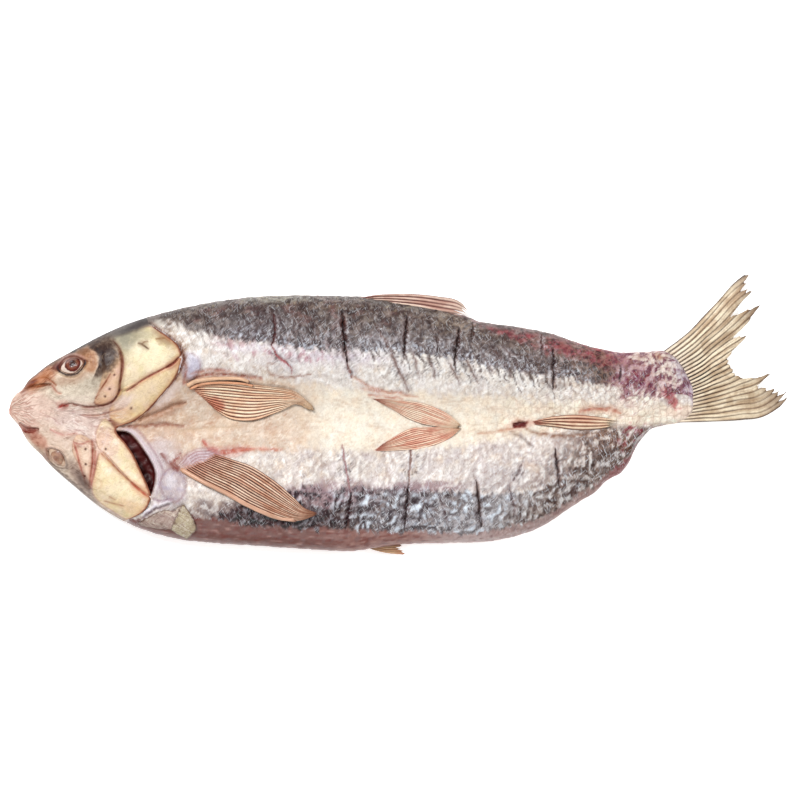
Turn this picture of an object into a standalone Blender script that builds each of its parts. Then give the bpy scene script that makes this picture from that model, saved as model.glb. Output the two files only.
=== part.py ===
"""A salted dried carp, split along the back and opened flat, lying skin side up.

The fish is one solid: trunk, both halves of the head, gill covers and fins are fused. Each eye is
a lens of its own in its socket. +X runs from the snout to the tail, +Y towards the half that keeps
the tail, and Z = 0 is the table. All sizes below are in millimetres.
"""

import math

import bmesh
import bpy
import numpy as np
from mathutils import Matrix, Vector

MM = 0.001

# ---- driving sizes ---------------------------------------------------------------------------

SNOUT_X = -300.0
TRUNK_END_X = 231.0
RIDGE_AT = 0.58          # share of a half's width where the back muscle is thickest
RIM_SHARE = 0.34         # height of the outer rim, as a share of the ridge
TUCK = 3.5               # how far the rim tucks in under itself at the table
HOLLOW_DEPTH = 2.0       # the gutted side is pressed nearly flat on the table
PUCKER = 0.9             # depth of the broad waves in the shrunken skin
PUCKER_LENGTH = 37.0


def through(points):
    """A smooth curve y(x) through a few points, which never overshoots them."""
    x, y = np.array(points, float).T
    step = np.diff(x)
    rise = np.diff(y) / step
    same_way = rise[:-1] * rise[1:] > 0
    total = np.where(same_way, rise[:-1] + rise[1:], 1.0)
    inner = np.where(same_way, 2 * rise[:-1] * rise[1:] / total, 0.0)
    slope = np.concatenate([rise[:1], inner, rise[-1:]])

    def value(at):
        at = np.clip(at, x[0], x[-1])
        i = np.clip(np.searchsorted(x, at) - 1, 0, len(step) - 1)
        t = (at - x[i]) / step[i]
        start = (1 + 2 * t) * (1 - t) ** 2 * y[i] + t * (1 - t) ** 2 * step[i] * slope[i]
        end = t**2 * (3 - 2 * t) * y[i + 1] + t**2 * (t - 1) * step[i] * slope[i + 1]
        return start + end

    return value


# The plan: the two outer edges are the split back, and the belly line lies between them.
UPPER_EDGE = through([
    (-300, 4), (-298, 11), (-294, 15.5), (-290, 18.5), (-285, 25.5), (-279, 30.5), (-270, 37.5),
    (-252, 47.7), (-229, 60), (-206, 70), (-183, 77), (-148, 84.8), (-114, 89.5), (-80, 91),
    (-30, 90), (5, 85), (52, 75), (62, 71), (75, 69), (94, 66.5), (117, 62), (140, 54),
    (155, 50), (175, 47), (190, 47.5), (203, 48.5), (213, 44), (222, 32), (228, 20), (231, 12),
])
LOWER_EDGE = through([
    (-300, -0.5), (-298, -3.5), (-295, -6.5), (-291.5, -11), (-288.5, -17), (-284, -23.5),
    (-276, -31), (-268, -40), (-252, -54), (-229, -72.5), (-206, -85.5), (-183, -93.5),
    (-160, -98), (-114, -101.5), (-68, -104.5), (-38, -106), (-14, -103), (11, -100.3),
    (62, -99.2), (80, -97), (94, -93.5), (110, -87.5), (128, -76), (140, -68), (152, -60.5),
    (162, -51), (172, -45.5), (178.5, -37), (183, -27), (190, -17), (197, -11), (209, -8.5),
    (220, -6), (227, 0), (231, 9),
])
BELLY_LINE = through([
    (-300, 0.5), (-275, 2), (-245, -3), (-215, -13), (-180, -11), (-140, -8), (-60, -2),
    (0, -4), (60, -7), (150, -7), (180, -2), (203, 12), (218, 15), (231, 10.5),
])

# Heights above the table: the belly between the halves, and the ridge of back muscle in each.
BELLY_HEIGHT = through([
    (-300, 6), (-297, 9), (-290, 12), (-270, 15), (-230, 17), (-205, 14), (-170, 13),
    (-60, 16), (40, 15), (110, 14), (165, 13), (200, 13), (222, 9), (231, 6),
])
UPPER_RIDGE = through([
    (-300, 6), (-296, 9), (-288, 13), (-270, 20), (-235, 28), (-200, 32), (-150, 33),
    (-60, 32), (20, 30), (80, 27), (130, 22), (165, 17.5), (200, 14.5), (222, 9), (231, 6),
])
LOWER_RIDGE = through([
    (-300, 6), (-296, 9), (-288, 12), (-270, 18), (-235, 26), (-205, 30), (-150, 31),
    (-60, 31), (30, 29), (90, 24), (130, 18), (160, 13), (180, 11), (203, 9.5), (222, 8), (231, 6),
])


def skin_height(x, y):
    """Height of the skin over the table at a point of the plan; past an edge, the rim's."""
    x, y = np.broadcast_arrays(np.asarray(x, float), np.asarray(y, float))
    belly = BELLY_LINE(x)
    upper = y >= belly
    edge = np.where(upper, UPPER_EDGE(x), LOWER_EDGE(x))
    u = np.clip((y - belly) / (edge - belly), 0, 1)
    ridge = np.where(upper, UPPER_RIDGE(x), LOWER_RIDGE(x))
    climb = np.clip(u / RIDGE_AT, 0, 1)
    inside = BELLY_HEIGHT(x) + (ridge - BELLY_HEIGHT(x)) * climb**2 * (3 - 2 * climb)
    drop = np.clip((u - RIDGE_AT) / (1 - RIDGE_AT), 0, 1)
    outside = ridge * (RIM_SHARE + (1 - RIM_SHARE) * np.sqrt(1 - drop**2.4))
    wave = np.sin(2 * math.pi * x / PUCKER_LENGTH + 3 * u) * np.sin(math.pi * u)
    return np.where(u < RIDGE_AT, inside, outside) + PUCKER * wave * (ridge / 32)


# ---- curves in the plan ----------------------------------------------------------------------


def curve(points, t, closed=False):
    """Catmull-Rom points at the shares t (0 to 1) of a line, or of a loop if it is closed."""
    p = np.array(points, float)
    if closed:
        p = np.vstack([p[-1:], p, p[:2]])
    else:
        p = np.vstack([2 * p[0] - p[1], p, 2 * p[-1] - p[-2]])
    spans = len(p) - 3
    s = np.clip(np.asarray(t, float) * spans, 0, spans - 1e-9)
    i = s.astype(int)
    f = (s - i)[..., None]
    a, b, c, d = p[i], p[i + 1], p[i + 2], p[i + 3]
    return 0.5 * (2 * b + (c - a) * f + (2 * a - 5 * b + 4 * c - d) * f**2 + (3 * b - 3 * c + d - a) * f**3)


# ---- closed solids ---------------------------------------------------------------------------


def mesh_object(name, vertices, faces, material, collection=None):
    mesh = bpy.data.meshes.new(name)
    mesh.from_pydata([Vector(v) * MM for v in vertices], [], faces)
    mesh.materials.append(material)
    fixed = bmesh.new()
    fixed.from_mesh(mesh)
    bmesh.ops.recalc_face_normals(fixed, faces=fixed.faces)
    fixed.to_mesh(mesh)
    fixed.free()
    made = bpy.data.objects.new(name, mesh)
    (collection or bpy.context.scene.collection).objects.link(made)
    return made


def loft(name, rings, material, collection=None):
    """A solid through rings of equally many points, closed by a flat face at each end."""
    count = len(rings[0])
    vertices = [point for ring in rings for point in ring]
    faces = [list(range(count)), [(len(rings) - 1) * count + k for k in reversed(range(count))]]
    for r in range(len(rings) - 1):
        for k in range(count):
            a, b = r * count + k, r * count + (k + 1) % count
            faces.append([a, a + count, b + count, b])
    return mesh_object(name, vertices, faces, material, collection)


def sheet(name, top, bottom, material, collection=None):
    """A closed sheet from two grids of points, each of shape (along, across, 3)."""
    along, across = top.shape[:2]
    vertices = [*top.reshape(-1, 3), *bottom.reshape(-1, 3)]
    under = along * across
    faces = []
    for i in range(along - 1):
        for j in range(across - 1):
            a = i * across + j
            quad = [a, a + 1, a + across + 1, a + across]
            faces += [quad, [under + k for k in reversed(quad)]]
    rim = [j for j in range(across)]
    rim += [i * across + across - 1 for i in range(1, along)]
    rim += [(along - 1) * across + j for j in reversed(range(across - 1))]
    rim += [i * across for i in reversed(range(1, along - 1))]
    for a, b in zip(rim, rim[1:] + rim[:1]):
        faces.append([a, under + a, under + b, b])
    return mesh_object(name, vertices, faces, material, collection)


def plate(name, outline, lift, material, collection, centre=None, sink=5.0):
    """A thin crowned bone plate on the skin: its outline is a smooth loop in the plan."""
    count = 22
    loop = curve(outline, np.arange(count) / count, closed=True)
    middle = np.array(centre if centre else loop.mean(axis=0))
    vertices, faces = [], []
    shares = (1.0, 0.8)
    for share in shares:
        ring = middle + share * (loop - middle)
        height = skin_height(ring[:, 0], ring[:, 1]) + lift * (1.15 - 0.45 * share**3)
        vertices += [(x, y, z) for (x, y), z in zip(ring, height)]
    vertices.append((*middle, float(skin_height(*middle)) + lift * 1.15))
    low = skin_height(loop[:, 0], loop[:, 1]) - sink
    vertices += [(x, y, max(z, 1.0)) for (x, y), z in zip(loop, low)]
    peak, base = len(shares) * count, len(shares) * count + 1
    for k in range(count):
        n = (k + 1) % count
        for r in range(len(shares) - 1):
            faces.append([r * count + k, r * count + n, (r + 1) * count + n, (r + 1) * count + k])
        faces.append([peak - count + k, peak - count + n, peak])
        faces.append([k, base + k, base + n, n])
    faces.append([base + k for k in reversed(range(count))])
    return mesh_object(name, vertices, faces, material, collection)


# ---- trunk and head --------------------------------------------------------------------------


def stations():
    """Where the cross-sections stand: close together at the blunt snout and at the tail root."""
    snout = SNOUT_X + 24 * (1 - np.cos(np.linspace(0, math.pi / 2, 6)))
    middle = np.linspace(snout[-1], 172, 45)
    root = np.linspace(172, TRUNK_END_X, 11)
    return np.concatenate([snout, middle[1:], root[1:]])


def trunk(materials):
    """The opened body: each ring runs over the skin, then back along the pressed flesh side."""
    across = np.sin(np.linspace(-1, 1, 21) * math.pi / 2)
    under = np.array([0.62, 0.4, 0.0, -0.4, -0.62])
    rings = []
    for x in stations():
        top, low, mid = float(UPPER_EDGE(x)), float(LOWER_EDGE(x)), float(BELLY_LINE(x))
        y = np.where(across > 0, mid + across * (top - mid), mid + across * (mid - low))
        ring = list(zip(np.full(len(y), x), y, skin_height(x, y)))
        in_top = min(TUCK, 0.25 * (top - mid))
        in_low = min(TUCK, 0.25 * (mid - low))
        flat_y = np.where(under > 0, mid + under * (top - mid), mid + under * (mid - low))
        hollow = HOLLOW_DEPTH * np.clip(min(x + 190, 130 - x) / 60, 0, 1)
        flat_z = np.where(np.abs(under) < 0.5, hollow, 0.0)
        ring += [(x, top - in_top, 0.0)]
        ring += list(zip(np.full(len(under), x), flat_y, flat_z))
        ring += [(x, low + in_low, 0.0)]
        rings.append(ring)
    fish = loft("carp", rings, materials["flank"])
    for name in ("back", "belly", "flesh"):
        fish.data.materials.append(materials[name])
    for face in fish.data.polygons:
        x, y, z = face.center / MM
        mid = float(BELLY_LINE(x))
        edge = float(UPPER_EDGE(x) if y > mid else LOWER_EDGE(x))
        u = (y - mid) / (edge - mid)
        if face.normal.z < -0.5:
            face.material_index = 3
        elif u > (0.5 if y > mid else 0.6) and x > -160:
            face.material_index = 1
        elif u < 0.28:
            face.material_index = 2
    return fish


# Plates of the head, as plan outlines. Each pair is the upper and the lower half of the head.
GILL_COVERS = {
    "opercle_upper": dict(lift=3.2, outline=[
        (-218, 58), (-211, 46), (-210, 33), (-212, 18.5), (-193, 27.5), (-179, 35), (-168, 43.5),
        (-167, 49), (-174, 57), (-185, 64), (-192, 66.5), (-206, 63.5)]),
    "subopercle_upper": dict(lift=2.0, outline=[
        (-213, 17), (-192, 27), (-178, 34.5), (-167, 42), (-168, 35), (-174, 24), (-185, 11),
        (-196, 0), (-206, -7), (-215, -11), (-221, -5), (-220, 6)]),
    "opercle_lower": dict(lift=3.2, outline=[
        (-228.5, -30), (-232, -44), (-234.5, -58), (-231, -66), (-221, -73.5), (-208, -81),
        (-196, -76), (-190, -69), (-191, -64), (-200, -57), (-212, -46), (-222, -35)]),
    "subopercle_lower": dict(lift=2.0, outline=[
        (-226, -4), (-219, -10.5), (-212, -19), (-205, -30), (-198, -43), (-193, -54),
        (-190, -62), (-201, -55), (-212, -44), (-223, -32), (-230, -26), (-232, -16)]),
}
CHEEKS = {
    "preopercle_upper": dict(lift=1.1, outline=[
        (-221, 57), (-213, 50), (-211, 37), (-213, 22), (-217, 12), (-225, 7), (-233, 9),
        (-229, 20), (-226, 34), (-226, 47)]),
    "preopercle_lower": dict(lift=1.1, outline=[
        (-247, -17), (-240, -18), (-233, -26), (-235, -42), (-237, -57), (-241, -56),
        (-245, -40), (-250, -28)]),
    "jaw": dict(lift=1.8, outline=[
        (-299, 3), (-293, 13), (-284, 17.5), (-272, 18), (-262, 14), (-257, 5), (-260, -4),
        (-270, -10), (-283, -10.5), (-293, -8), (-298.5, -3)]),
}
SKIN_FLAP = dict(lift=1.2, outline=[
    (-201, -83), (-188, -75), (-176, -71), (-166, -70), (-160, -78), (-155.5, -87), (-161, -95),
    (-168, -94), (-176, -88), (-188, -87)])


# ---- fins ------------------------------------------------------------------------------------


def on_skin(lift):
    return lambda x, y, s: skin_height(x, y) + lift


def hanging(root, tip):
    """A fin that leaves the fish at one height and droops to another."""
    return lambda x, y, s: root + (tip - root) * s + 0.5 * np.sin(y / 9.0)


def torn(points):
    """How far the rays reach, as a share of the whole, from the leading to the trailing ray."""
    w, reach = np.array(points, float).T
    return lambda at: np.interp(at, w, reach)


FINS = {
    "tail": dict(
        lead=[(203, 47), (221, 62), (233, 74.5), (245, 87), (256, 99.5), (268, 109)],
        trail=[(215, -6.5), (232, -6.5), (246, -6), (262, -5), (279, -2.5), (300, 11)],
        rays=20, steps=6, thickness=2.4, relief=0.7, bulge=9.0, height=hanging(7.5, 3.6),
        reach=torn([(0, 1), (0.05, 0.98), (0.075, 0.91), (0.125, 1.0), (0.2, 0.78), (0.275, 1.01),
                    (0.35, 0.83), (0.425, 0.89), (0.475, 0.73), (0.55, 0.57), (0.65, 0.62),
                    (0.75, 0.88), (0.8, 0.80), (0.875, 0.94), (0.95, 0.99), (1, 1)])),
    "pectoral_upper": dict(
        lead=[(-161, 22), (-152, 24.5), (-133, 25.5), (-112, 21), (-82, 17.5), (-61, 2)],
        trail=[(-148, 4), (-139, -3), (-124, -7), (-108, -6), (-86, 5), (-64, 0)],
        rays=12, steps=6, thickness=3.4, relief=0.7, height=on_skin(1.6)),
    "pectoral_lower": dict(
        lead=[(-166, -42), (-150, -51), (-132, -61), (-114, -71), (-92, -80), (-64, -78)],
        trail=[(-144, -32), (-128, -35.5), (-112, -40.5), (-94, -53), (-78, -67), (-62, -76)],
        rays=13, steps=6, thickness=3.6, relief=0.8, height=on_skin(2.0)),
    "pelvic_upper": dict(
        lead=[(-18, 11), (-2, 10), (20, 7.5), (38, 0), (48, -9)],
        trail=[(-17, 9), (-4, 2), (10, -6), (26, -10), (47, -12)],
        rays=7, steps=5, thickness=4.5, relief=0.6, height=on_skin(1.3)),
    "pelvic_lower": dict(
        lead=[(-18, -28), (-2, -28), (20, -26), (38, -19), (48, -11)],
        trail=[(-17, -25), (-4, -18), (10, -11), (26, -10), (47, -9)],
        rays=7, steps=5, thickness=4.5, relief=0.6, height=on_skin(0.9)),
    "anal": dict(
        lead=[(104, -6.5), (118, -3), (136, -1.5), (154, -3), (172, -6)],
        trail=[(104, -8), (118, -9.5), (136, -12), (154, -11), (172, -8)],
        rays=4, steps=6, thickness=3.4, relief=0.9, height=on_skin(1.8)),
    "dorsal": dict(
        lead=[(-34, 88.5), (-14, 92), (12, 92.4), (32, 90), (48, 86), (58, 75)],
        trail=[(-34, 85), (-14, 81), (10, 76), (30, 71), (46, 69), (57, 71)],
        rays=6, steps=6, thickness=3.6, relief=0.7, height=hanging(15.0, 12.0)),
    "dorsal_stub": dict(
        lead=[(-34, -98), (-20, -100), (-4, -100), (6, -98)],
        trail=[(-30, -101), (-18, -106), (-6, -108.5), (7, -109)],
        rays=4, steps=4, thickness=2.8, relief=0.5, height=hanging(9.0, 6.0)),
}


def fin(name, lead, trail, rays, steps, thickness, relief, height, material, collection,
        reach=lambda at: np.ones_like(at), bulge=0.0):
    """A fan of rays between its leading and trailing edges, both given from root to tip."""
    w = np.linspace(0, 1, 2 * rays + 1)
    s = np.linspace(0, 1, steps + 1)[:, None] * reach(w)[None, :]
    point = curve(lead, s) * (1 - w[None, :, None]) + curve(trail, s) * w[None, :, None]
    x = point[..., 0] + bulge * 4 * w * (1 - w) * (1 - s)
    y = point[..., 1]
    crest = relief * (np.arange(len(w)) % 2)[None, :]
    top = height(x, y, s) + crest
    return sheet(name, np.dstack([x, y, top]), np.dstack([x, y, top - crest - thickness]),
                 material, collection)


# ---- hollows ---------------------------------------------------------------------------------

GILL_OPENING = dict(
    cover_edge=[(-217, -12.5), (-210, -21), (-203, -32), (-197, -44), (-192, -55), (-188, -64)],
    shoulder_edge=[(-216, -11), (-206, -13.5), (-195, -26), (-187.5, -40), (-185.5, -53), (-187, -63)],
    floor=8.0, undercut=5.0)
KNIFE_CUTS = [
    ((-42, 80), (-39, 38)), ((-96, 77), (-93, 46)), ((6, 75), (4, 41)), ((45, 65), (43, 36)),
    ((119, 52), (119, 18)), ((8, -38), (5, -91)), ((61, -54), (64, -88)), ((-36, -62), (-40, -88)),
    ((121, -28), (124, -58)),
]
CUT_WIDTH = 2.4
CUT_DEPTH = 3.2
MOUTH_CORNERS = [((-296, 20.5), (-264, 19)), ((-294, -13.5), (-273, -12))]
MOUTH_WIDTH = 3.6
MOUTH_DEPTH = 3.0


def groove(name, start, end, width, depth, material, collection):
    """A V-shaped cutter that follows the skin and fades out at both ends."""
    start, end = np.array(start, float), np.array(end, float)
    side = np.array([start[1] - end[1], end[0] - start[0]]) / np.linalg.norm(end - start)
    clear = 3.0          # how far the cutter stands out over the skin
    rings = []
    for t in np.linspace(0, 1, 9):
        bite = math.sin(math.pi * min(max(t, 0.04), 0.96)) ** 0.6
        middle = start + t * (end - start)
        spread = side * width / 2 * bite * (1 + clear / depth)
        z = float(skin_height(*middle))
        rings.append([(*(middle - spread), z + clear), (*(middle + spread), z + clear),
                      (*middle, z - depth * bite)])
    return loft(name, rings, material, collection)


def gill_opening(cover_edge, shoulder_edge, floor, undercut, material, collection):
    """The crescent behind the lower gill cover, cut in a little way under the cover."""
    t = np.linspace(0, 1, 12)
    inner, outer = curve(cover_edge, t), curve(shoulder_edge, t)
    fade = np.sin(math.pi * t)[:, None]
    away = inner - outer
    away /= np.linalg.norm(away, axis=1)[:, None] + 1e-9
    lower = inner + away * undercut * fade
    grid = np.stack([inner, outer], axis=1)
    base = np.stack([lower, outer - away * 0.5 * fade], axis=1)
    top = np.dstack([grid, np.full(grid.shape[:2], 44.0)])
    bottom = np.dstack([base, np.full(grid.shape[:2], floor)])
    return sheet("gill_opening", top, bottom, material, collection)


# ---- eyes ------------------------------------------------------------------------------------

EYES = {
    "eye_upper": dict(at=(-250.8, 37.0), size=(15.0, 12.5, 6.0), turn=18, lean=1.0),
    "eye_lower": dict(at=(-262.5, -34.0), size=(15.0, 9.5, 6.0), turn=-42, lean=1.0),
}
SOCKET_GAP = 0.5
EYE_STANDS = 0.6         # how far the middle of the lens lies over the skin around it


def skin_frame(x, y, turn):
    """A frame on the skin at a plan point: Z is the skin's normal, X is turned in the plan."""
    reach = 3.0
    slope_x = float(skin_height(x + reach, y) - skin_height(x - reach, y)) / (2 * reach)
    slope_y = float(skin_height(x, y + reach) - skin_height(x, y - reach)) / (2 * reach)
    normal = Vector((-slope_x, -slope_y, 1)).normalized()
    angle = math.radians(turn)
    ahead = Vector((math.cos(angle), math.sin(angle), 0))
    ahead = (ahead - ahead.project(normal)).normalized()
    sideways = normal.cross(ahead)
    rotation = Matrix((ahead, sideways, normal)).transposed().to_4x4()
    return Matrix.Translation(Vector((x, y, float(skin_height(x, y))))) @ rotation


def lens(name, at, size, turn, lean, grow, material, collection=None):
    """A flattened ball in the skin, which is the eye, or its socket where it is grown."""
    ball = bmesh.new()
    bmesh.ops.create_uvsphere(ball, u_segments=16, v_segments=9, radius=1.0)
    place = skin_frame(*at, turn)
    half = Vector(size) / 2 + Vector((grow, grow, grow))
    vertices = []
    for v in ball.verts:
        local = Vector((v.co.x * half.x, v.co.y * half.y, v.co.z * half.z * lean + EYE_STANDS - half.z * 0.35))
        vertices.append(place @ local)
    faces = [[v.index for v in f.verts] for f in ball.faces]
    ball.free()
    return mesh_object(name, vertices, faces, material, collection)


# ---- assembly --------------------------------------------------------------------------------


def material(name, colour, roughness, metallic=0.0):
    made = bpy.data.materials.new(name)
    made.use_nodes = True
    shader = made.node_tree.nodes["Principled BSDF"]
    shader.inputs["Base Color"].default_value = (*colour, 1)
    shader.inputs["Roughness"].default_value = roughness
    shader.inputs["Metallic"].default_value = metallic
    made.diffuse_color = (*colour, 1)
    return made


def fuse(fish, collection, operation):
    """Applies one Boolean with a collection, then removes the collection and its objects."""
    step = fish.modifiers.new(operation.lower(), "BOOLEAN")
    step.operation = operation
    step.operand_type = "COLLECTION"
    step.collection = collection
    step.solver = "EXACT"
    step.material_mode = "TRANSFER"
    bpy.context.view_layer.update()
    result = fish.evaluated_get(bpy.context.evaluated_depsgraph_get())
    mesh = bpy.data.meshes.new_from_object(result)
    fish.modifiers.clear()
    fish.data = mesh
    for helper in list(collection.objects):
        bpy.data.objects.remove(helper)
    bpy.data.collections.remove(collection)


def new_collection(name):
    made = bpy.data.collections.new(name)
    bpy.context.scene.collection.children.link(made)
    return made


def main():
    for old in list(bpy.data.objects):
        bpy.data.objects.remove(old)
    materials = {
        "back": material("dark_back_skin", (0.16, 0.12, 0.115), 0.42),
        "flank": material("silver_flank_skin", (0.55, 0.52, 0.52), 0.35, 0.15),
        "belly": material("cream_belly_skin", (0.82, 0.72, 0.60), 0.5),
        "flesh": material("cured_flesh", (0.55, 0.30, 0.20), 0.6),
        "plate": material("gill_plate", (0.80, 0.66, 0.44), 0.4),
        "fin": material("dried_fin", (0.60, 0.36, 0.22), 0.5),
        "gill": material("dark_gill_cavity", (0.07, 0.02, 0.015), 0.6),
        "eye": material("eye_lens", (0.14, 0.05, 0.035), 0.2),
    }
    fish = trunk(materials)

    joined = new_collection("joined")
    for name, facts in {**GILL_COVERS, **CHEEKS}.items():
        plate(name, facts["outline"], facts["lift"], materials["plate"], joined)
    plate("skin_flap", SKIN_FLAP["outline"], SKIN_FLAP["lift"], materials["belly"], joined)
    for name, facts in FINS.items():
        fin(name, material=materials["fin"], collection=joined, **facts)
    fuse(fish, joined, "UNION")

    hollows = new_collection("hollows")
    gill_opening(material=materials["gill"], collection=hollows, **GILL_OPENING)
    for number, (start, end) in enumerate(KNIFE_CUTS):
        groove(f"cut_{number}", start, end, CUT_WIDTH, CUT_DEPTH, materials["gill"], hollows)
    for number, (start, end) in enumerate(MOUTH_CORNERS):
        groove(f"mouth_{number}", start, end, MOUTH_WIDTH, MOUTH_DEPTH, materials["gill"], hollows)
    for name, facts in EYES.items():
        lens(name + "_socket", grow=SOCKET_GAP, material=materials["gill"], collection=hollows, **facts)
    fuse(fish, hollows, "DIFFERENCE")

    fish.data.shade_smooth()
    fish.data.set_sharp_from_angle(angle=math.radians(40))
    for name, facts in EYES.items():
        eye = lens(name, grow=0.0, material=materials["eye"], **facts)
        eye.data.shade_smooth()


main()
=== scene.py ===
import math

import bpy
import numpy as np
from mathutils import Matrix, Vector


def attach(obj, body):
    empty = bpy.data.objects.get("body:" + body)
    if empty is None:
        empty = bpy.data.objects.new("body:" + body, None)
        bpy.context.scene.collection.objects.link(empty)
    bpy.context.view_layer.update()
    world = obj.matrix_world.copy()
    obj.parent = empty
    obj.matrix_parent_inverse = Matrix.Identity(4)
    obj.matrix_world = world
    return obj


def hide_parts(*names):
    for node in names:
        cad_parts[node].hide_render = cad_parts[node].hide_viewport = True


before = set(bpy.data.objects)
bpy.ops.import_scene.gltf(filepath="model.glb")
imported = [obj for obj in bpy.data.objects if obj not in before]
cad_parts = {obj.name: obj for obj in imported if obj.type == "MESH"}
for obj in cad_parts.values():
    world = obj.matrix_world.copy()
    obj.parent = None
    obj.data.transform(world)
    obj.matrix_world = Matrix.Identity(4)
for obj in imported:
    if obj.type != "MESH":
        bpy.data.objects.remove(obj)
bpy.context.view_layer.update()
mm = 0.001  # sizes below are millimetres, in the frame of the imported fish
print("frame loaded")


# small maths

def through(points):
    # smooth curve y(x) through a few points, never past them
    x, y = np.array(points, float).T
    step = np.diff(x)
    rise = np.diff(y) / step
    sameWay = rise[:-1] * rise[1:] > 0
    total = np.where(sameWay, rise[:-1] + rise[1:], 1.0)
    inner = np.where(sameWay, 2 * rise[:-1] * rise[1:] / total, 0.0)
    slope = np.concatenate([rise[:1], inner, rise[-1:]])

    def value(at):
        at = np.clip(at, x[0], x[-1])
        i = np.clip(np.searchsorted(x, at) - 1, 0, len(step) - 1)
        t = (at - x[i]) / step[i]
        start = (1 + 2 * t) * (1 - t) ** 2 * y[i] + t * (1 - t) ** 2 * step[i] * slope[i]
        end = t**2 * (3 - 2 * t) * y[i + 1] + t**2 * (t - 1) * step[i] * slope[i + 1]
        return start + end

    return value


def curve(points, t, closed=False):
    # Catmull-Rom points at shares t of a line or loop
    p = np.array(points, float)
    if closed:
        p = np.vstack([p[-1:], p, p[:2]])
    else:
        p = np.vstack([2 * p[0] - p[1], p, 2 * p[-1] - p[-2]])
    spans = len(p) - 3
    s = np.clip(np.asarray(t, float) * spans, 0, spans - 1e-9)
    i = s.astype(int)
    f = (s - i)[..., None]
    a, b, c, d = p[i], p[i + 1], p[i + 2], p[i + 3]
    return 0.5 * (2 * b + (c - a) * f + (2 * a - 5 * b + 4 * c - d) * f**2 + (3 * b - 3 * c + d - a) * f**3)


def ease(low, high, t):
    t = np.clip((t - low) / (high - low), 0, 1)
    return t * t * (3 - 2 * t)


def scatter(i, j, seed):
    # repeatable random number from 0 to 1 for each cell of a lattice
    h = (i.astype(np.int64) * 374761393 + j.astype(np.int64) * 668265263 + seed * 362437) & 0xFFFFFFFF
    h = ((h ^ (h >> 13)) * 1274126177) & 0xFFFFFFFF
    h = ((h ^ (h >> 15)) * 2246822519) & 0xFFFFFFFF
    return ((h ^ (h >> 16)) & 0xFFFFFF) / 0xFFFFFF


def noise(x, y, seed=0):
    # gradient noise, about -1 to 1
    i, j = np.floor(x), np.floor(y)
    u, v = x - i, y - j
    su, sv = u**3 * (u * (u * 6 - 15) + 10), v**3 * (v * (v * 6 - 15) + 10)

    def corner(di, dj):
        angle = scatter(i + di, j + dj, seed) * 2 * math.pi
        return np.cos(angle) * (u - di) + np.sin(angle) * (v - dj)

    low = corner(0, 0) * (1 - su) + corner(1, 0) * su
    high = corner(0, 1) * (1 - su) + corner(1, 1) * su
    return (low * (1 - sv) + high * sv) * 1.5


def clouds(x, y, size, octaves=3, seed=0):
    # a few octaves of noise, each turned against the last
    total, weight, scale = 0.0, 0.0, 1.0
    for k in range(octaves):
        turn = 0.6 + 1.1 * k
        a, b = math.cos(turn) * scale / size, math.sin(turn) * scale / size
        total = total + noise(x * a - y * b + 7.3 * k, x * b + y * a - 3.1 * k, seed + 17 * k) / scale
        weight += 1 / scale
        scale *= 2.0
    return total / weight * 1.4


def strokes(x, y, angle, length, width, seed=0, share=0.5):
    # short thin marks that lie along an angle in degrees: 1 on a mark, 0 between
    a = math.radians(angle)
    along = (x * math.cos(a) + y * math.sin(a)) / length
    across = (y * math.cos(a) - x * math.sin(a)) / width
    bend = 0.8 * noise(along * 0.7, across * 0.25, seed + 5)
    line = 1 - np.abs(noise(along, across + bend, seed)) * 4.2
    gate = ease(-0.25, 0.35, noise(along * 0.8 + 9, across * 0.35, seed + 11) + (share - 0.5) * 1.6)
    return np.clip(line, 0, 1) * gate


def cells(x, y, sizeX, sizeY, seed=0):
    # nearest of jittered lattice points: its offset, its random number, and how near the border is
    gx, gy = x / sizeX, y / sizeY
    i, j = np.floor(gx), np.floor(gy)
    best = np.full(x.shape, 9.0)
    second = np.full(x.shape, 9.0)
    offX, offY, chance = np.zeros(x.shape), np.zeros(x.shape), np.zeros(x.shape)
    for di in (-1, 0, 1):
        for dj in (-1, 0, 1):
            ci, cj = i + di, j + dj
            dx = gx - (ci + 0.15 + 0.7 * scatter(ci, cj, seed))
            dy = gy - (cj + 0.15 + 0.7 * scatter(ci, cj, seed + 3))
            far = dx * dx + dy * dy
            closer = far < best
            second = np.where(closer, best, np.minimum(second, far))
            best = np.where(closer, far, best)
            offX, offY = np.where(closer, dx, offX), np.where(closer, dy, offY)
            chance = np.where(closer, scatter(ci, cj, seed + 9), chance)
    return offX, offY, chance, np.sqrt(second) - np.sqrt(best)


def scaleTiles(x, y, pitch, seed=0):
    # overlapping scales with their free edges towards the tail: tilt from 0 to 1, random number, edge line
    row = pitch * 0.62
    column = np.floor(x / row)
    tilt, chance, rim = np.zeros(x.shape), np.zeros(x.shape), np.zeros(x.shape)
    found = np.zeros(x.shape, bool)
    for di in (-3, -2, -1, 0, 1):
        ci = column + di
        shift = (ci % 2) * 0.5
        cj = np.round(y / pitch - shift)
        centreX = (ci + 0.5 + 0.22 * (scatter(ci, cj, seed) - 0.5)) * row
        centreY = (cj + shift + 0.18 * (scatter(ci, cj, seed + 1) - 0.5)) * pitch
        dx, dy = (x - centreX) / (pitch * 0.80), (y - centreY) / (pitch * 0.60)
        far = np.sqrt(dx * dx + dy * dy)
        here = (far < 1) & ~found
        tilt = np.where(here, 0.5 + 0.5 * dx, tilt)
        chance = np.where(here, scatter(ci, cj, seed + 2), chance)
        rim = np.where(here, ease(0.74, 1.0, far) * (dx > -0.2), rim)
        found |= here
    return tilt, chance, rim


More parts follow.
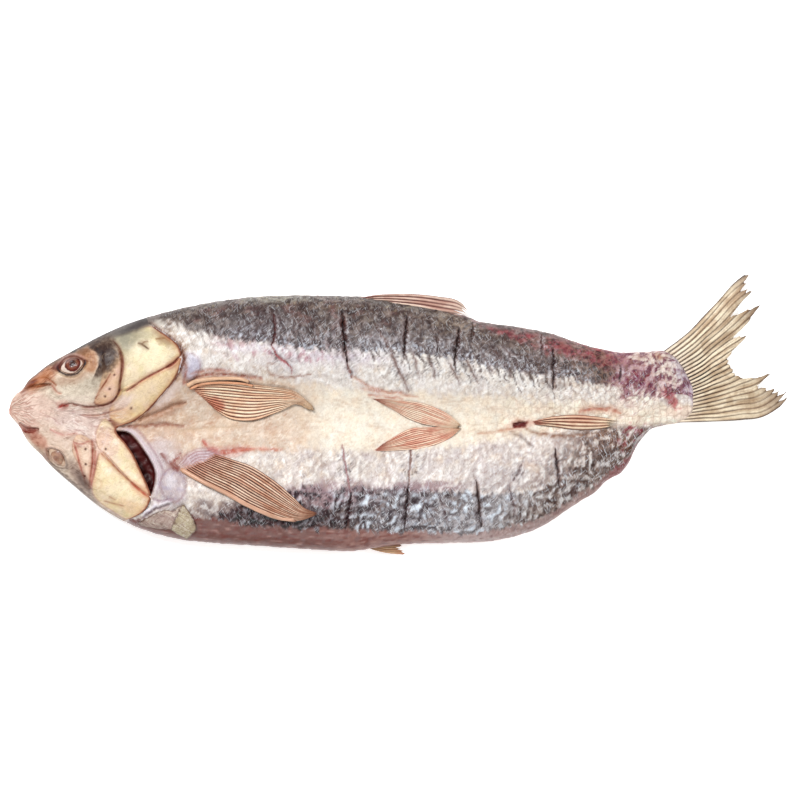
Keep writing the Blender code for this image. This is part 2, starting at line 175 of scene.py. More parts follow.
def folds(x, y, size, stretch, turn, seed, lift=0.3):
    # crumpled skin: sharp folds with smooth faces between; its height, how far each face leans to the light,
    # and how near the crest of a fold is
    a = math.radians(turn)

    def fold(px, py):
        bend = 0.45 * noise(px / (size * 2.3), py / (size * 2.3), seed + 1)
        along = (px * math.cos(a) + py * math.sin(a)) / (size * stretch)
        across = (py * math.cos(a) - px * math.sin(a)) / size
        return np.abs(noise(along + bend, across + 1.4 * bend, seed))

    middle, step = fold(x, y), 0.45
    ahead = fold(x - 0.64 * step, y + 0.77 * step)
    behind = fold(x + 0.64 * step, y - 0.77 * step)
    slope = (ahead - behind) / (2 * step) * size * 0.55
    return -lift * size * middle, slope, 1 - ease(0.0, 0.16, middle)


def facets(x, y, size, stripe, seed):
    # foil pressed into facets, each with streaks along its own direction: streak from -1 to 1, level, border
    _, _, chance, border = cells(x, y, size, size * 0.8, seed)
    angle = np.radians(np.where(chance < 0.6, -80 + chance * 85, 15 + (chance - 0.6) * 140))
    along = (x * np.cos(angle) + y * np.sin(angle)) / (stripe * 5.5)
    across = (y * np.cos(angle) - x * np.sin(angle)) / stripe
    streak = noise(across + chance * 91, along + chance * 37, seed + 1) * 1.5
    level = np.mod(chance * 7.31, 1)
    return streak, level, border


def comb(x, fromLine, pitch, lean, seed):
    # creases that start at a line and run down from it, each with a length of its own
    q = (x + lean * fromLine) / pitch + 0.25 * noise(x / 9, fromLine / 7, seed)
    k = np.floor(q)
    reach = 7 + 17 * scatter(k, k * 0, seed)
    t = -fromLine / reach
    far = np.abs(q - k - 0.5 - 0.25 * (scatter(k, k * 0 + 3, seed) - 0.5)) * pitch
    width = np.clip(1.3 * (1 - t), 0.25, 1.3) * (0.6 + 0.7 * scatter(k, k * 0 + 7, seed))
    line = np.clip(1.3 - far / width, 0, 1) * (1 - ease(0.75, 1.0, t)) * ease(-7, -1, -fromLine)
    beside = np.exp(-((far - width * 1.7) / 0.9) ** 2) * (1 - ease(0.75, 1.0, t)) * ease(-5, 0, -fromLine)
    return line, beside, t


def lineShare(x, y, points, count=40):
    # distance to a smooth line in the plan, share along it, and which side
    line = curve(points, np.linspace(0, 1, count))
    near = np.full(x.shape, 1e9)
    share, side = np.zeros(x.shape), np.zeros(x.shape)
    for k in range(count - 1):
        a, d = line[k], line[k + 1] - line[k]
        length = float(d @ d)
        t = np.clip(((x - a[0]) * d[0] + (y - a[1]) * d[1]) / length, 0, 1)
        px, py = x - a[0] - t * d[0], y - a[1] - t * d[1]
        far = np.hypot(px, py)
        closer = far < near
        near = np.where(closer, far, near)
        share = np.where(closer, (k + t) / (count - 1), share)
        side = np.where(closer, np.sign(d[0] * py - d[1] * px), side)
    return near, share, side


def mark(x, y, points, width, taper=0.25, soft=0.6):
    # a drawn line: 1 in its middle, thinner towards both ends
    near, share, _ = lineShare(x, y, points)
    fade = np.clip(np.minimum(share, 1 - share) / max(taper, 1e-3), 0, 1) ** 0.6
    half = width / 2 * fade
    return np.clip((half + soft - near) / (soft + 0.3), 0, 1) * ease(0, 0.25, fade)


def loopShare(x, y, outline, centre=None):
    # 0 at a loop's middle, 1 on it, more outside
    loop = curve(outline, np.arange(120) / 120, closed=True)
    middle = np.array(centre if centre else curve(outline, np.arange(22) / 22, closed=True).mean(axis=0))
    arm = loop - middle
    angle = np.arctan2(arm[:, 1], arm[:, 0])
    order = np.argsort(angle)
    angle, reach = angle[order], np.hypot(arm[:, 0], arm[:, 1])[order]
    at = np.arctan2(y - middle[1], x - middle[0])
    radius = np.interp(at, angle, reach, period=2 * math.pi)
    return np.hypot(x - middle[0], y - middle[1]) / radius


def blob(x, y, at, size, turn=0.0, soft=0.35, wobble=0.25, seed=0):
    # a soft-edged oval patch with an uneven border
    a = math.radians(turn)
    dx, dy = x - at[0], y - at[1]
    along = (dx * math.cos(a) + dy * math.sin(a)) / (size[0] / 2)
    across = (dy * math.cos(a) - dx * math.sin(a)) / (size[1] / 2)
    far = np.hypot(along, across) + wobble * clouds(x, y, max(3.0, min(size) * 0.45), 3, seed + 40)
    return 1 - ease(1 - soft, 1 + soft, far)


paintLevel = 0.74   # paint against the light of the studio, so that a tone comes out as it is written
glossShare = 0.024  # what the gloss adds to every tone, taken off the paint


class Paint:
    # colours in 0 to 255, laid over each other in the order they are called

    def __init__(self, shape, base):
        self.colour = np.tile(np.array(base, float), (*shape, 1))

    def lay(self, tone, mask):
        m = np.clip(mask, 0, 1)[..., None]
        self.colour = self.colour * (1 - m) + np.array(tone, float) * m

    def shift(self, amount, mask=1.0):
        # adds to all channels, or to each one if amount has three
        amount = np.array(amount, float)
        m = np.asarray(mask, float)
        self.colour = self.colour + (m[..., None] if m.ndim else m) * amount

    def linear(self):
        c = np.clip(self.colour, 1, 253) / 255
        c = np.where(c <= 0.04045, c / 12.92, ((c + 0.055) / 1.055) ** 2.4)
        return np.maximum(c - glossShare, 0.12 * c + 0.002) * paintLevel


def patches(paint, x, y, *rows):
    # soft patches of one tone each: tone, middle, size, turn, softness, wobble, seed, then what thins them
    for tone, at, size, turn, soft, wobble, seed, *thins in rows:
        mask = blob(x, y, at, size, turn, soft, wobble, seed)
        for thin in thins:
            mask = mask * thin
        paint.lay(tone, mask)


def brushed(paint, x, y, *rows):
    # short strokes of one tone each: tone, angle, length, width, seed, share, then what thins them
    for tone, angle, length, width, seed, share, *thins in rows:
        mask = strokes(x, y, angle, length, width, seed, share)
        for thin in thins:
            mask = mask * thin
        paint.lay(tone, mask)


# the fish's plan and its skin

upperEdge = through([
    (-300, 4), (-298, 11), (-294, 15.5), (-290, 18.5), (-285, 25.5), (-279, 30.5), (-270, 37.5),
    (-252, 47.7), (-229, 60), (-206, 70), (-183, 77), (-148, 84.8), (-114, 89.5), (-80, 91),
    (-30, 90), (5, 85), (52, 75), (62, 71), (75, 69), (94, 66.5), (117, 62), (140, 54),
    (155, 50), (175, 47), (190, 47.5), (203, 48.5), (213, 44), (222, 32), (228, 20), (231, 12),
])
lowerEdge = through([
    (-300, -0.5), (-298, -3.5), (-295, -6.5), (-291.5, -11), (-288.5, -17), (-284, -23.5),
    (-276, -31), (-268, -40), (-252, -54), (-229, -72.5), (-206, -85.5), (-183, -93.5),
    (-160, -98), (-114, -101.5), (-68, -104.5), (-38, -106), (-14, -103), (11, -100.3),
    (62, -99.2), (80, -97), (94, -93.5), (110, -87.5), (128, -76), (140, -68), (152, -60.5),
    (162, -51), (172, -45.5), (178.5, -37), (183, -27), (190, -17), (197, -11), (209, -8.5),
    (220, -6), (227, 0), (231, 9),
])
bellyLine = through([
    (-300, 0.5), (-275, 2), (-245, -3), (-215, -13), (-180, -11), (-140, -8), (-60, -2),
    (0, -4), (60, -7), (150, -7), (180, -2), (203, 12), (218, 15), (231, 10.5),
])
bellyHeight = through([
    (-300, 6), (-297, 9), (-290, 12), (-270, 15), (-230, 17), (-205, 14), (-170, 13),
    (-60, 16), (40, 15), (110, 14), (165, 13), (200, 13), (222, 9), (231, 6),
])
upperRidge = through([
    (-300, 6), (-296, 9), (-288, 13), (-270, 20), (-235, 28), (-200, 32), (-150, 33),
    (-60, 32), (20, 30), (80, 27), (130, 22), (165, 17.5), (200, 14.5), (222, 9), (231, 6),
])
lowerRidge = through([
    (-300, 6), (-296, 9), (-288, 12), (-270, 18), (-235, 26), (-205, 30), (-150, 31),
    (-60, 31), (30, 29), (90, 24), (130, 18), (160, 13), (180, 11), (203, 9.5), (222, 8), (231, 6),
])
body = {"ridgeAt": 0.58, "rimShare": 0.34, "tuck": 3.5, "pucker": 0.9, "puckerLength": 37.0}


def unrolled(x, y, below=0.0):
    # y with the drop of the sides added, so that patterns aren't drawn out on them
    share = halfShare(x, y)
    ridge = np.where(share > 0, upperRidge(x), lowerRidge(x))
    drop = (ridge - skinHeight(x, y)) * (np.abs(share) > body["ridgeAt"])
    return y + np.sign(share) * (0.9 * np.clip(drop, 0, 40) + below)


def halfShare(x, y):
    # 0 on the belly line, 1 on the upper edge and -1 on the lower one
    belly = bellyLine(x)
    up = y >= belly
    edge = np.where(up, upperEdge(x), lowerEdge(x))
    return np.clip((y - belly) / (edge - belly), 0, 1) * np.where(up, 1, -1)


def skinHeight(x, y):
    x, y = np.broadcast_arrays(np.asarray(x, float), np.asarray(y, float))
    share = halfShare(x, y)
    u = np.abs(share)
    ridge = np.where(share > 0, upperRidge(x), lowerRidge(x))
    climb = np.clip(u / body["ridgeAt"], 0, 1)
    inside = bellyHeight(x) + (ridge - bellyHeight(x)) * climb**2 * (3 - 2 * climb)
    drop = np.clip((u - body["ridgeAt"]) / (1 - body["ridgeAt"]), 0, 1)
    outside = ridge * (body["rimShare"] + (1 - body["rimShare"]) * np.sqrt(1 - drop**2.4))
    wave = np.sin(2 * math.pi * x / body["puckerLength"] + 3 * u) * np.sin(math.pi * u)
    return np.where(u < body["ridgeAt"], inside, outside) + body["pucker"] * wave * (ridge / 32)


def columnShares(count):
    # shares across the body from -1 to 1, closer together where the sides turn down
    t = np.linspace(-1, 1, count)
    outer = 0.955 + 0.045 * np.sin(np.clip((np.abs(t) - 0.88) / 0.12, 0, 1) * math.pi / 2)
    return np.sign(t) * np.where(np.abs(t) < 0.88, np.abs(t) / 0.88 * 0.955, outer)


# meshes and materials

def makeMesh(name, points, faces, paint, **layers):
    # paint is the colour of each point; the other layers are one number a point
    mesh = bpy.data.meshes.new(name)
    mesh.from_pydata((np.asarray(points) * mm).tolist(), [], faces)
    colour = np.concatenate([paint.reshape(-1, 3), np.ones((paint.size // 3, 1))], axis=1)
    layer = mesh.color_attributes.new("paint", "FLOAT_COLOR", "POINT")
    layer.data.foreach_set("color", colour.astype(np.float32).ravel())
    mesh.color_attributes.active_color = layer
    for key, values in layers.items():
        layer = mesh.attributes.new(key, "FLOAT", "POINT")
        values = np.broadcast_to(values, (len(points),))
        layer.data.foreach_set("value", np.ascontiguousarray(values, np.float32))
    mesh.shade_smooth()
    mesh.validate()
    made = bpy.data.objects.new(name, mesh)
    bpy.context.scene.collection.objects.link(made)
    return made


def gridFaces(rows, columns, first=0):
    start = first + (np.arange(rows - 1)[:, None] * columns + np.arange(columns - 1)[None, :]).ravel()
    return np.stack([start, start + columns, start + columns + 1, start + 1], axis=1)


def closedShell(top, below, step):
    # closes a fine grid with a coarser one under it, which shares every step-th point of the border
    rows, columns = top.shape[:2]
    fine = np.arange(rows * columns).reshape(rows, columns)
    coarse = fine[::step, ::step].copy()
    inner = below[1:-1, 1:-1].reshape(-1, 3)
    innerIndex = rows * columns + np.arange(len(inner))
    coarse[1:-1, 1:-1] = innerIndex.reshape(below.shape[0] - 2, below.shape[1] - 2)
    faces = gridFaces(rows, columns).tolist()
    lastRow, lastColumn = coarse.shape[0] - 2, coarse.shape[1] - 2
    for i in range(lastRow + 1):
        for j in range(lastColumn + 1):
            face = [coarse[i, j]]
            if i == 0:
                face += fine[0, j * step + 1:(j + 1) * step].tolist()
            face.append(coarse[i, j + 1])
            if j == lastColumn:
                face += fine[i * step + 1:(i + 1) * step, -1].tolist()
            face.append(coarse[i + 1, j + 1])
            if i == lastRow:
                face += fine[-1, j * step + 1:(j + 1) * step][::-1].tolist()
            face.append(coarse[i + 1, j])
            if j == 0:
                face += fine[i * step + 1:(i + 1) * step, 0][::-1].tolist()
            faces.append([int(k) for k in face])
    return np.concatenate([top.reshape(-1, 3), inner]), faces


def twoFacedSheet(top, bottom):
    # closed sheet from two grids of the same size
    rows, columns = top.shape[:2]
    under = rows * columns
    faces = gridFaces(rows, columns).tolist()
    faces += gridFaces(rows, columns, under)[:, ::-1].tolist()
    index = np.arange(under).reshape(rows, columns)
    border = [*index[0, :], *index[1:, -1], *index[-1, -2::-1], *index[-2:0:-1, 0]]
    for a, b in zip(border, border[1:] + border[:1]):
        faces.append([int(a), int(b), int(b) + under, int(a) + under])
    return np.concatenate([top.reshape(-1, 3), bottom.reshape(-1, 3)]), faces


class NodeDesk:
    # short ways to add and link shader nodes

    def __init__(self, material):
        material.use_nodes = True
        self.nodes, self.links = material.node_tree.nodes, material.node_tree.links
        self.shader = self.nodes["Principled BSDF"]

    def put(self, socket, value):
        if isinstance(value, bpy.types.NodeSocket):
            self.links.new(value, socket)
        elif value is not None:
            socket.default_value = value

    def maths(self, operation, a, b=None, c=None):
        node = self.nodes.new("ShaderNodeMath")
        node.operation = operation
        for socket, value in zip(node.inputs, (a, b, c)):
            self.put(socket, value)
        return node.outputs["Value"]

    def vector(self, operation, a, b=None, scale=None):
        node = self.nodes.new("ShaderNodeVectorMath")
        node.operation = operation
        self.put(node.inputs[0], a)
        if b is not None:
            self.put(node.inputs[1], b)
        if operation == "SCALE":
            self.put(node.inputs["Scale"], scale)
        return node.outputs["Vector"]

    def span(self, value, low, high, toLow, toHigh):
        node = self.nodes.new("ShaderNodeMapRange")
        self.put(node.inputs["Value"], value)
        for key, number in (("From Min", low), ("From Max", high), ("To Min", toLow), ("To Max", toHigh)):
            node.inputs[key].default_value = number
        return node.outputs["Result"]

    def noise(self, place, scale, detail=3.0, rough=0.55, bend=0.0):
        node = self.nodes.new("ShaderNodeTexNoise")
        self.put(node.inputs["Vector"], place)
        for key, number in (("Scale", scale), ("Detail", detail), ("Roughness", rough), ("Distortion", bend)):
            node.inputs[key].default_value = number
        return node

    def cells(self, place, scale, feature="F1", stray=1.0):
        node = self.nodes.new("ShaderNodeTexVoronoi")
        node.feature = feature
        self.put(node.inputs["Vector"], place)
        node.inputs["Scale"].default_value = scale
        node.inputs["Randomness"].default_value = stray
        return node

    def mix(self, share, a, b):
        node = self.nodes.new("ShaderNodeMix")
        node.data_type = "RGBA"
        self.put(node.inputs["Factor"], share)
        self.put(node.inputs["A"], a)
        self.put(node.inputs["B"], b)
        return node.outputs["Result"]

    def layer(self, name):
        node = self.nodes.new("ShaderNodeAttribute")
        node.attribute_name = name
        return node

    def lean(self, place, angle, length, width, shift=0.0):
        # turns the texture's space and stretches it along that angle
        node = self.nodes.new("ShaderNodeMapping")
        node.vector_type = "TEXTURE"
        self.put(node.inputs["Vector"], place)
        node.inputs["Location"].default_value = (shift, -shift, shift)
        node.inputs["Rotation"].default_value = (0, 0, math.radians(angle))
        node.inputs["Scale"].default_value = (length, width, 4.0)
        return node.outputs["Vector"]

    def streaks(self, place, angles, length, width, sparse, shift):
        # long thin marks along any of a few angles
        most = None
        for k, angle in enumerate(angles):
            fac = self.noise(self.lean(place, angle, length, width, shift + 17 * k), 1.0, 1.0,
                             0.4).outputs["Fac"]
            marks = self.span(fac, sparse, sparse + 0.05, 0.0, 1.0)
            most = marks if most is None else self.maths("MAXIMUM", most, marks)
        return most


def linearTone(tone):
    c = np.array(tone, float) / 255
    return (*np.where(c <= 0.04045, c / 12.92, ((c + 0.055) / 1.055) ** 2.4), 1.0)


def skinMaterial(name, look):
    # painted colour with speckle; "foil" paints glints into it as painted highlights, and dark creases and
    # darker facets as painted shade; "net" adds the borders of scales
    made = bpy.data.materials.new(name)
    desk = NodeDesk(made)
    shader = desk.shader
    place = desk.nodes.new("ShaderNodeTexCoord").outputs["Object"]
    place = desk.vector("SCALE", place, scale=1 / mm)  # millimetres
    wander = desk.noise(place, 0.16, 2.0)
    away = desk.vector("SUBTRACT", wander.outputs["Color"], (0.5, 0.5, 0.5))
    warped = desk.vector("ADD", place, desk.vector("SCALE", away, scale=look.get("warp", 5.0)))
    speckle = desk.noise(place, look["speckleScale"], 4.0, 0.7).outputs["Fac"]
    colour = desk.layer("paint").outputs["Color"]
    colour = desk.vector("SCALE", colour,
                         scale=desk.span(speckle, 0.3, 0.7, 1 - look["speckle"], 1 + look["speckle"]))
    grain = desk.noise(place, look["grainScale"], 3.0, 0.6).outputs["Fac"]
    height = desk.maths("MULTIPLY", grain, look["grain"])

    foilLook = look.get("foil")
    if foilLook:
        foil = desk.layer("foil").outputs["Fac"]
        facets = desk.nodes.new("ShaderNodeSeparateColor")
        leaning = desk.lean(warped, foilLook["leans"][0], 4.6, 3.0)
        desk.put(facets.inputs["Color"], desk.cells(leaning, 1.0).outputs["Color"])
        shade = desk.span(facets.outputs["Red"], 0.0, 1.0, -foilLook["facet"], foilLook["facet"])
        colour = desk.vector("SCALE", colour, scale=desk.maths("MULTIPLY_ADD", shade, foil, 1.0))
        dark = desk.streaks(warped, foilLook["leans"], foilLook["length"], foilLook["width"],
                            foilLook["sparse"] + 0.01, 40)
        bright = desk.streaks(warped, foilLook["leans"], foilLook["length"], foilLook["width"],
                              foilLook["sparse"], 0)
        patch = desk.noise(place, 0.13, 2.0).outputs["Fac"]
        bright = desk.maths("MULTIPLY", bright, desk.span(patch, 0.38, 0.56, 0.25, 1.0))
        dark = desk.maths("MULTIPLY", dark, desk.span(patch, 0.42, 0.62, 1.0, 0.35))
        colour = desk.mix(desk.maths("MULTIPLY", desk.maths("MULTIPLY", dark, foil), foilLook["darkAmount"]),
                          colour,
                          linearTone(foilLook["darkTone"]))
        colour = desk.mix(desk.maths("MULTIPLY", desk.maths("MULTIPLY", bright, foil),
                                     foilLook["glintAmount"]), colour,
                          linearTone(foilLook["glintTone"]))
        crinkle = desk.maths("SUBTRACT", bright, dark)
        height = desk.maths("MULTIPLY_ADD", desk.maths("MULTIPLY", crinkle, foil), foilLook["height"], height)
    netLook = look.get("net")
    if netLook:
        net = desk.layer("net").outputs["Fac"]
        flat = desk.lean(warped, 0, 0.85, 1.0)
        border = desk.cells(flat, netLook["scale"], "DISTANCE_TO_EDGE", 0.55).outputs["Distance"]
        line = desk.span(border, 0.02, netLook["line"], 1.0, 0.0)
        colour = desk.mix(desk.maths("MULTIPLY", desk.maths("MULTIPLY", line, net), netLook["amount"]),
                          colour,
                          linearTone(netLook["tone"]))
        plump = desk.span(border, 0.0, 0.35, 0.0, 1.0)
        height = desk.maths("MULTIPLY_ADD", desk.maths("MULTIPLY", plump, net), netLook["height"], height)
    desk.put(shader.inputs["Base Color"], colour)

    gloss = desk.span(desk.layer("gloss").outputs["Fac"], 0.0, 1.0, look["glossLow"], look["glossHigh"])
    desk.put(shader.inputs["Roughness"], desk.maths("MULTIPLY_ADD", speckle, 0.25, gloss))
    bump = desk.nodes.new("ShaderNodeBump")
    bump.inputs["Strength"].default_value = look["bump"]
    bump.inputs["Distance"].default_value = look["bumpDepth"] * mm
    desk.put(bump.inputs["Height"], height)
    desk.put(shader.inputs["Normal"], bump.outputs["Normal"])
    shader.inputs["Coat Weight"].default_value = look["coat"]
    shader.inputs["Coat Roughness"].default_value = look["coatRoughness"]
    shader.inputs["Specular IOR Level"].default_value = look["specular"]
    return made


def dress(piece, material, slot, *nodes):
    piece.data.materials.append(material)
    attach(piece, "root")
    if nodes:
        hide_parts(*nodes)
    return piece


# head: plates, lines and openings

plates = {
    "opercleUpper": dict(lift=3.2, tone=(238, 222, 186), rim=0.5, outline=[
        (-218, 58), (-211, 46), (-210, 33), (-212, 18.5), (-193, 27.5), (-179, 35), (-168, 43.5),
        (-167, 49), (-174, 57), (-185, 64), (-192, 66.5), (-206, 63.5)]),
    "subopercleUpper": dict(lift=2.0, tone=(240, 212, 168), rim=0.35, outline=[
        (-213, 17), (-192, 27), (-178, 34.5), (-167, 42), (-168, 35), (-174, 24), (-185, 11),
        (-196, 0), (-206, -7), (-215, -11), (-221, -5), (-220, 6)]),
    "opercleLower": dict(lift=3.2, tone=(241, 220, 184), rim=0.4, outline=[
        (-228.5, -30), (-232, -44), (-234.5, -58), (-231, -66), (-221, -73.5), (-208, -81),
        (-196, -76), (-190, -69), (-191, -64), (-200, -57), (-212, -46), (-222, -35)]),
    "subopercleLower": dict(lift=2.0, tone=(240, 220, 188), rim=0.2, outline=[
        (-226, -4), (-219, -10.5), (-212, -19), (-205, -30), (-198, -43), (-193, -54),
        (-190, -62), (-201, -55), (-212, -44), (-223, -32), (-230, -26), (-232, -16)]),
    "preopercleUpper": dict(lift=1.1, tone=(232, 194, 164), rim=0.5, outline=[
        (-221, 57), (-213, 50), (-211, 37), (-213, 22), (-217, 12), (-225, 7), (-233, 9),
        (-229, 20), (-226, 34), (-226, 47)]),
    "preopercleLower": dict(lift=1.1, tone=(228, 200, 176), rim=0.12, outline=[
        (-247, -17), (-240, -18), (-233, -26), (-235, -42), (-237, -57), (-241, -56),
        (-245, -40), (-250, -28)]),
    "jaw": dict(lift=1.8, tone=(229, 202, 186), rim=0.0, soft=0.55, outline=[
        (-299, 3), (-293, 13), (-284, 17.5), (-272, 18), (-262, 14), (-257, 5), (-260, -4),
        (-270, -10), (-283, -10.5), (-293, -8), (-298.5, -3)]),
}
trailingEdge = through([  # where the gill covers end, x for each y
    (-90, -216), (-84, -212), (-81.9, -207.7), (-75.8, -196.2), (-69.6, -191.3), (-63.5, -189.6),
    (-55.8, -191.8),
    (-45, -196.9), (-31.2, -203.8), (-22.7, -210), (-13.2, -216.9), (-11.3, -216.5), (-5, -201),
    (10.4, -184.6), (25.8, -171.5), (35, -166.9), (41.9, -165.4), (51.9, -168.5), (58.8, -176.2),
    (64.6, -184.6), (70.4, -190), (80, -194),
])
headLook = {
    "cells": 237, "wall": 4, "lip": 1.6, "lipReach": 4.0, "pocketReach": 9.0, "softTop": 33.9, "softReach": 2,
    # middle, length and height of the opening, turn, how strong its rim is
    "eyes": [((-250.8, 37.0), (20.5, 14.0), 14, 1.0), ((-262.5, -34.0), (19.5, 11.5), -44, 0.30)],
    # line points, width, groove depth, colour
    "lines": [
        ([(-219.5, 56.5), (-214.5, 51), (-212, 43), (-211.8, 34), (-213, 24), (-214.5, 15.5), (-221.5, 7.8),
          (-235.4, 5), (-246, 6.2), (-252.3, 7.6), (-259, 4.6)], 1.2, 1.4, (104, 58, 48)),
        ([(-220, 31), (-224, 24.5), (-228.5, 18), (-232.5, 11)], 0.8, 0.5, (136, 82, 64)),
        ([(-167.5, 43.5), (-172, 38.5), (-179.2, 34.6), (-193.1, 27.4), (-204, 20), (-209, 17)], 0.8, 1.0,
         (168, 90, 74)),
        ([(-167.5, 43.5), (-172, 38.5), (-178, 35)], 1.5, 0.6, (132, 62, 50)),
        ([(-249, -22), (-246.5, -30), (-244.6, -38), (-239.2, -55)], 0.8, 0.8, (176, 104, 90)),
        ([(-235.4, -20), (-234.4, -30), (-234.8, -40), (-237.5, -57)], 1.0, 0.9, (148, 80, 68)),
        ([(-232, -28), (-233.2, -42), (-236.5, -58)], 0.8, 0.5, (184, 112, 98)),
        ([(-228.5, -30), (-221, -37), (-213, -45), (-203, -54), (-197, -59)], 0.6, 0.6, (176, 116, 92)),
        ([(-205, -52.5), (-198, -58.5), (-191, -64.2)], 1.5, 0.6, (190, 104, 84)),
        ([(-199.5, 54.2), (-195.5, 52.6), (-190.5, 49)], 0.9, 0.7, (86, 58, 40)),
        ([(-196.5, 53), (-194, 55), (-191, 55.2)], 0.6, 0.4, (120, 88, 62)),
        ([(-186, 57), (-179, 58), (-174, 55.5)], 1.2, 0.3, (150, 112, 80)),
        ([(-226, -67), (-218, -69), (-210, -71)], 0.6, 0.4, (180, 134, 104)),
        ([(-222, -63.5), (-216, -66.5)], 0.5, 0.3, (186, 146, 116)),
        ([(-291, 15), (-285, 19), (-276, 21.5), (-266, 22.4)], 2.2, 2.2, (98, 48, 34)),
        ([(-283, 24), (-274, 27.5), (-268, 26), (-262, 21)], 1.3, 0.9, (140, 78, 52)),
        ([(-290, 19.5), (-281, 27), (-270, 33.5)], 0.9, 0.5, (92, 62, 46)),
        ([(-278, 31), (-268, 38), (-258, 42.5)], 0.8, 0.4, (84, 66, 56)),
        ([(-266, 22), (-262, 16.5), (-258, 15)], 0.9, 0.6, (176, 110, 92)),
        ([(-292, -7), (-286, -12.5), (-276, -12)], 3.4, 2.2, (98, 34, 28)),
        ([(-262, 3.6), (-258, 6.6), (-253, 6)], 1.9, 0.6, (160, 74, 66)),
        ([(-244, -1), (-232, -1.5), (-221, 1), (-210, 4)], 0.9, 0.7, (176, 132, 114)),
        ([(-268, -12), (-258, -16), (-246, -15)], 0.8, 0.4, (190, 132, 120)),
        ([(-250, -21.5), (-244, -23.6), (-236, -20.5)], 0.8, 0.4, (186, 126, 112)),
    ],
    "pores": [(-217.3, 29.6), (-221.1, 18.8), (-224.8, 13.1), (-240.0, -27.3), (-239.7, -39.0), (-240.5, -48),
              (-224.5, -27.2), (-205, 4)],
}


def openingShare(x, y, at, size, turn):
    # 0 in an almond's middle, 1 on its rim
    a = math.radians(turn)
    dx, dy = x - at[0], y - at[1]
    along = (dx * math.cos(a) + dy * math.sin(a)) / (size[0] / 2)
    across = (dy * math.cos(a) - dx * math.sin(a)) / (size[1] / 2)
    return np.sqrt(along**2 + (across * (1 + 0.35 * along**2)) ** 2)


def headRelief(x, y):
    # everything that stands over or sinks into the head's plain skin
    lift = 0.45 * clouds(x, y, 16, 3, 3)
    for facts in plates.values():
        share = loopShare(x, y, facts["outline"])
        crown = facts["lift"] * (1.15 - 0.45 * np.minimum(share, 1) ** 3)
        lift = lift + crown * (1 - ease(0.97 - facts.get("soft", 0.0), 1.07, share))
    for points, width, depth, _ in headLook["lines"]:
        near = mark(x, y, points, width * 0.8, soft=0.9)
        lift = lift - depth * near + 0.3 * depth * mark(x, y, points, width * 2.6, soft=1.4)
    for at, size, turn, _ in headLook["eyes"]:
        far = openingShare(x, y, at, size, turn)
        lift = lift + 1.1 * np.exp(-((far - 1.12) / 0.13) ** 2) - 3.4 * (1 - ease(0.70, 1.0, far))
        lift = lift - 0.3 * np.exp(-((far - 1.42) / 0.09) ** 2)
    for at in headLook["pores"]:
        lift = lift - 0.6 * np.exp(-((x - at[0]) ** 2 + (y - at[1]) ** 2) / 0.6)
    fromSnout = np.hypot(x + 302, y - 3)
    around = np.arctan2(y - 3, x + 302)
    ray = np.abs(noise(around * 8 + 0.5 * noise(fromSnout / 5, around * 3, 5), fromSnout / 16, 8))
    chin = (1 - ease(16, 34, fromSnout)) * (1 - ease(12, 20, np.abs(y - 3)))
    lift = lift - 0.7 * np.clip(1 - ray * 3.6, 0, 1) * chin
    loose = np.clip(blob(x, y, (-240, -8), (64, 30), -14, seed=4)
                    + blob(x, y, (-214, 8), (22, 12), 40, seed=5), 0, 1)
    lift = lift - 0.6 * strokes(x, y, -18, 11, 2.4, 21, 0.6) * loose
    lift = lift + 0.5 * strokes(x, y, 25, 9, 2.6, 22, 0.5) * loose
    fine = strokes(x, y, 20, 6, 1.5, 23, 0.4) + strokes(x, y, -50, 5, 1.4, 24, 0.35)
    return lift - 0.16 * fine + 0.10 * clouds(x, y, 2.4, 2, 6)


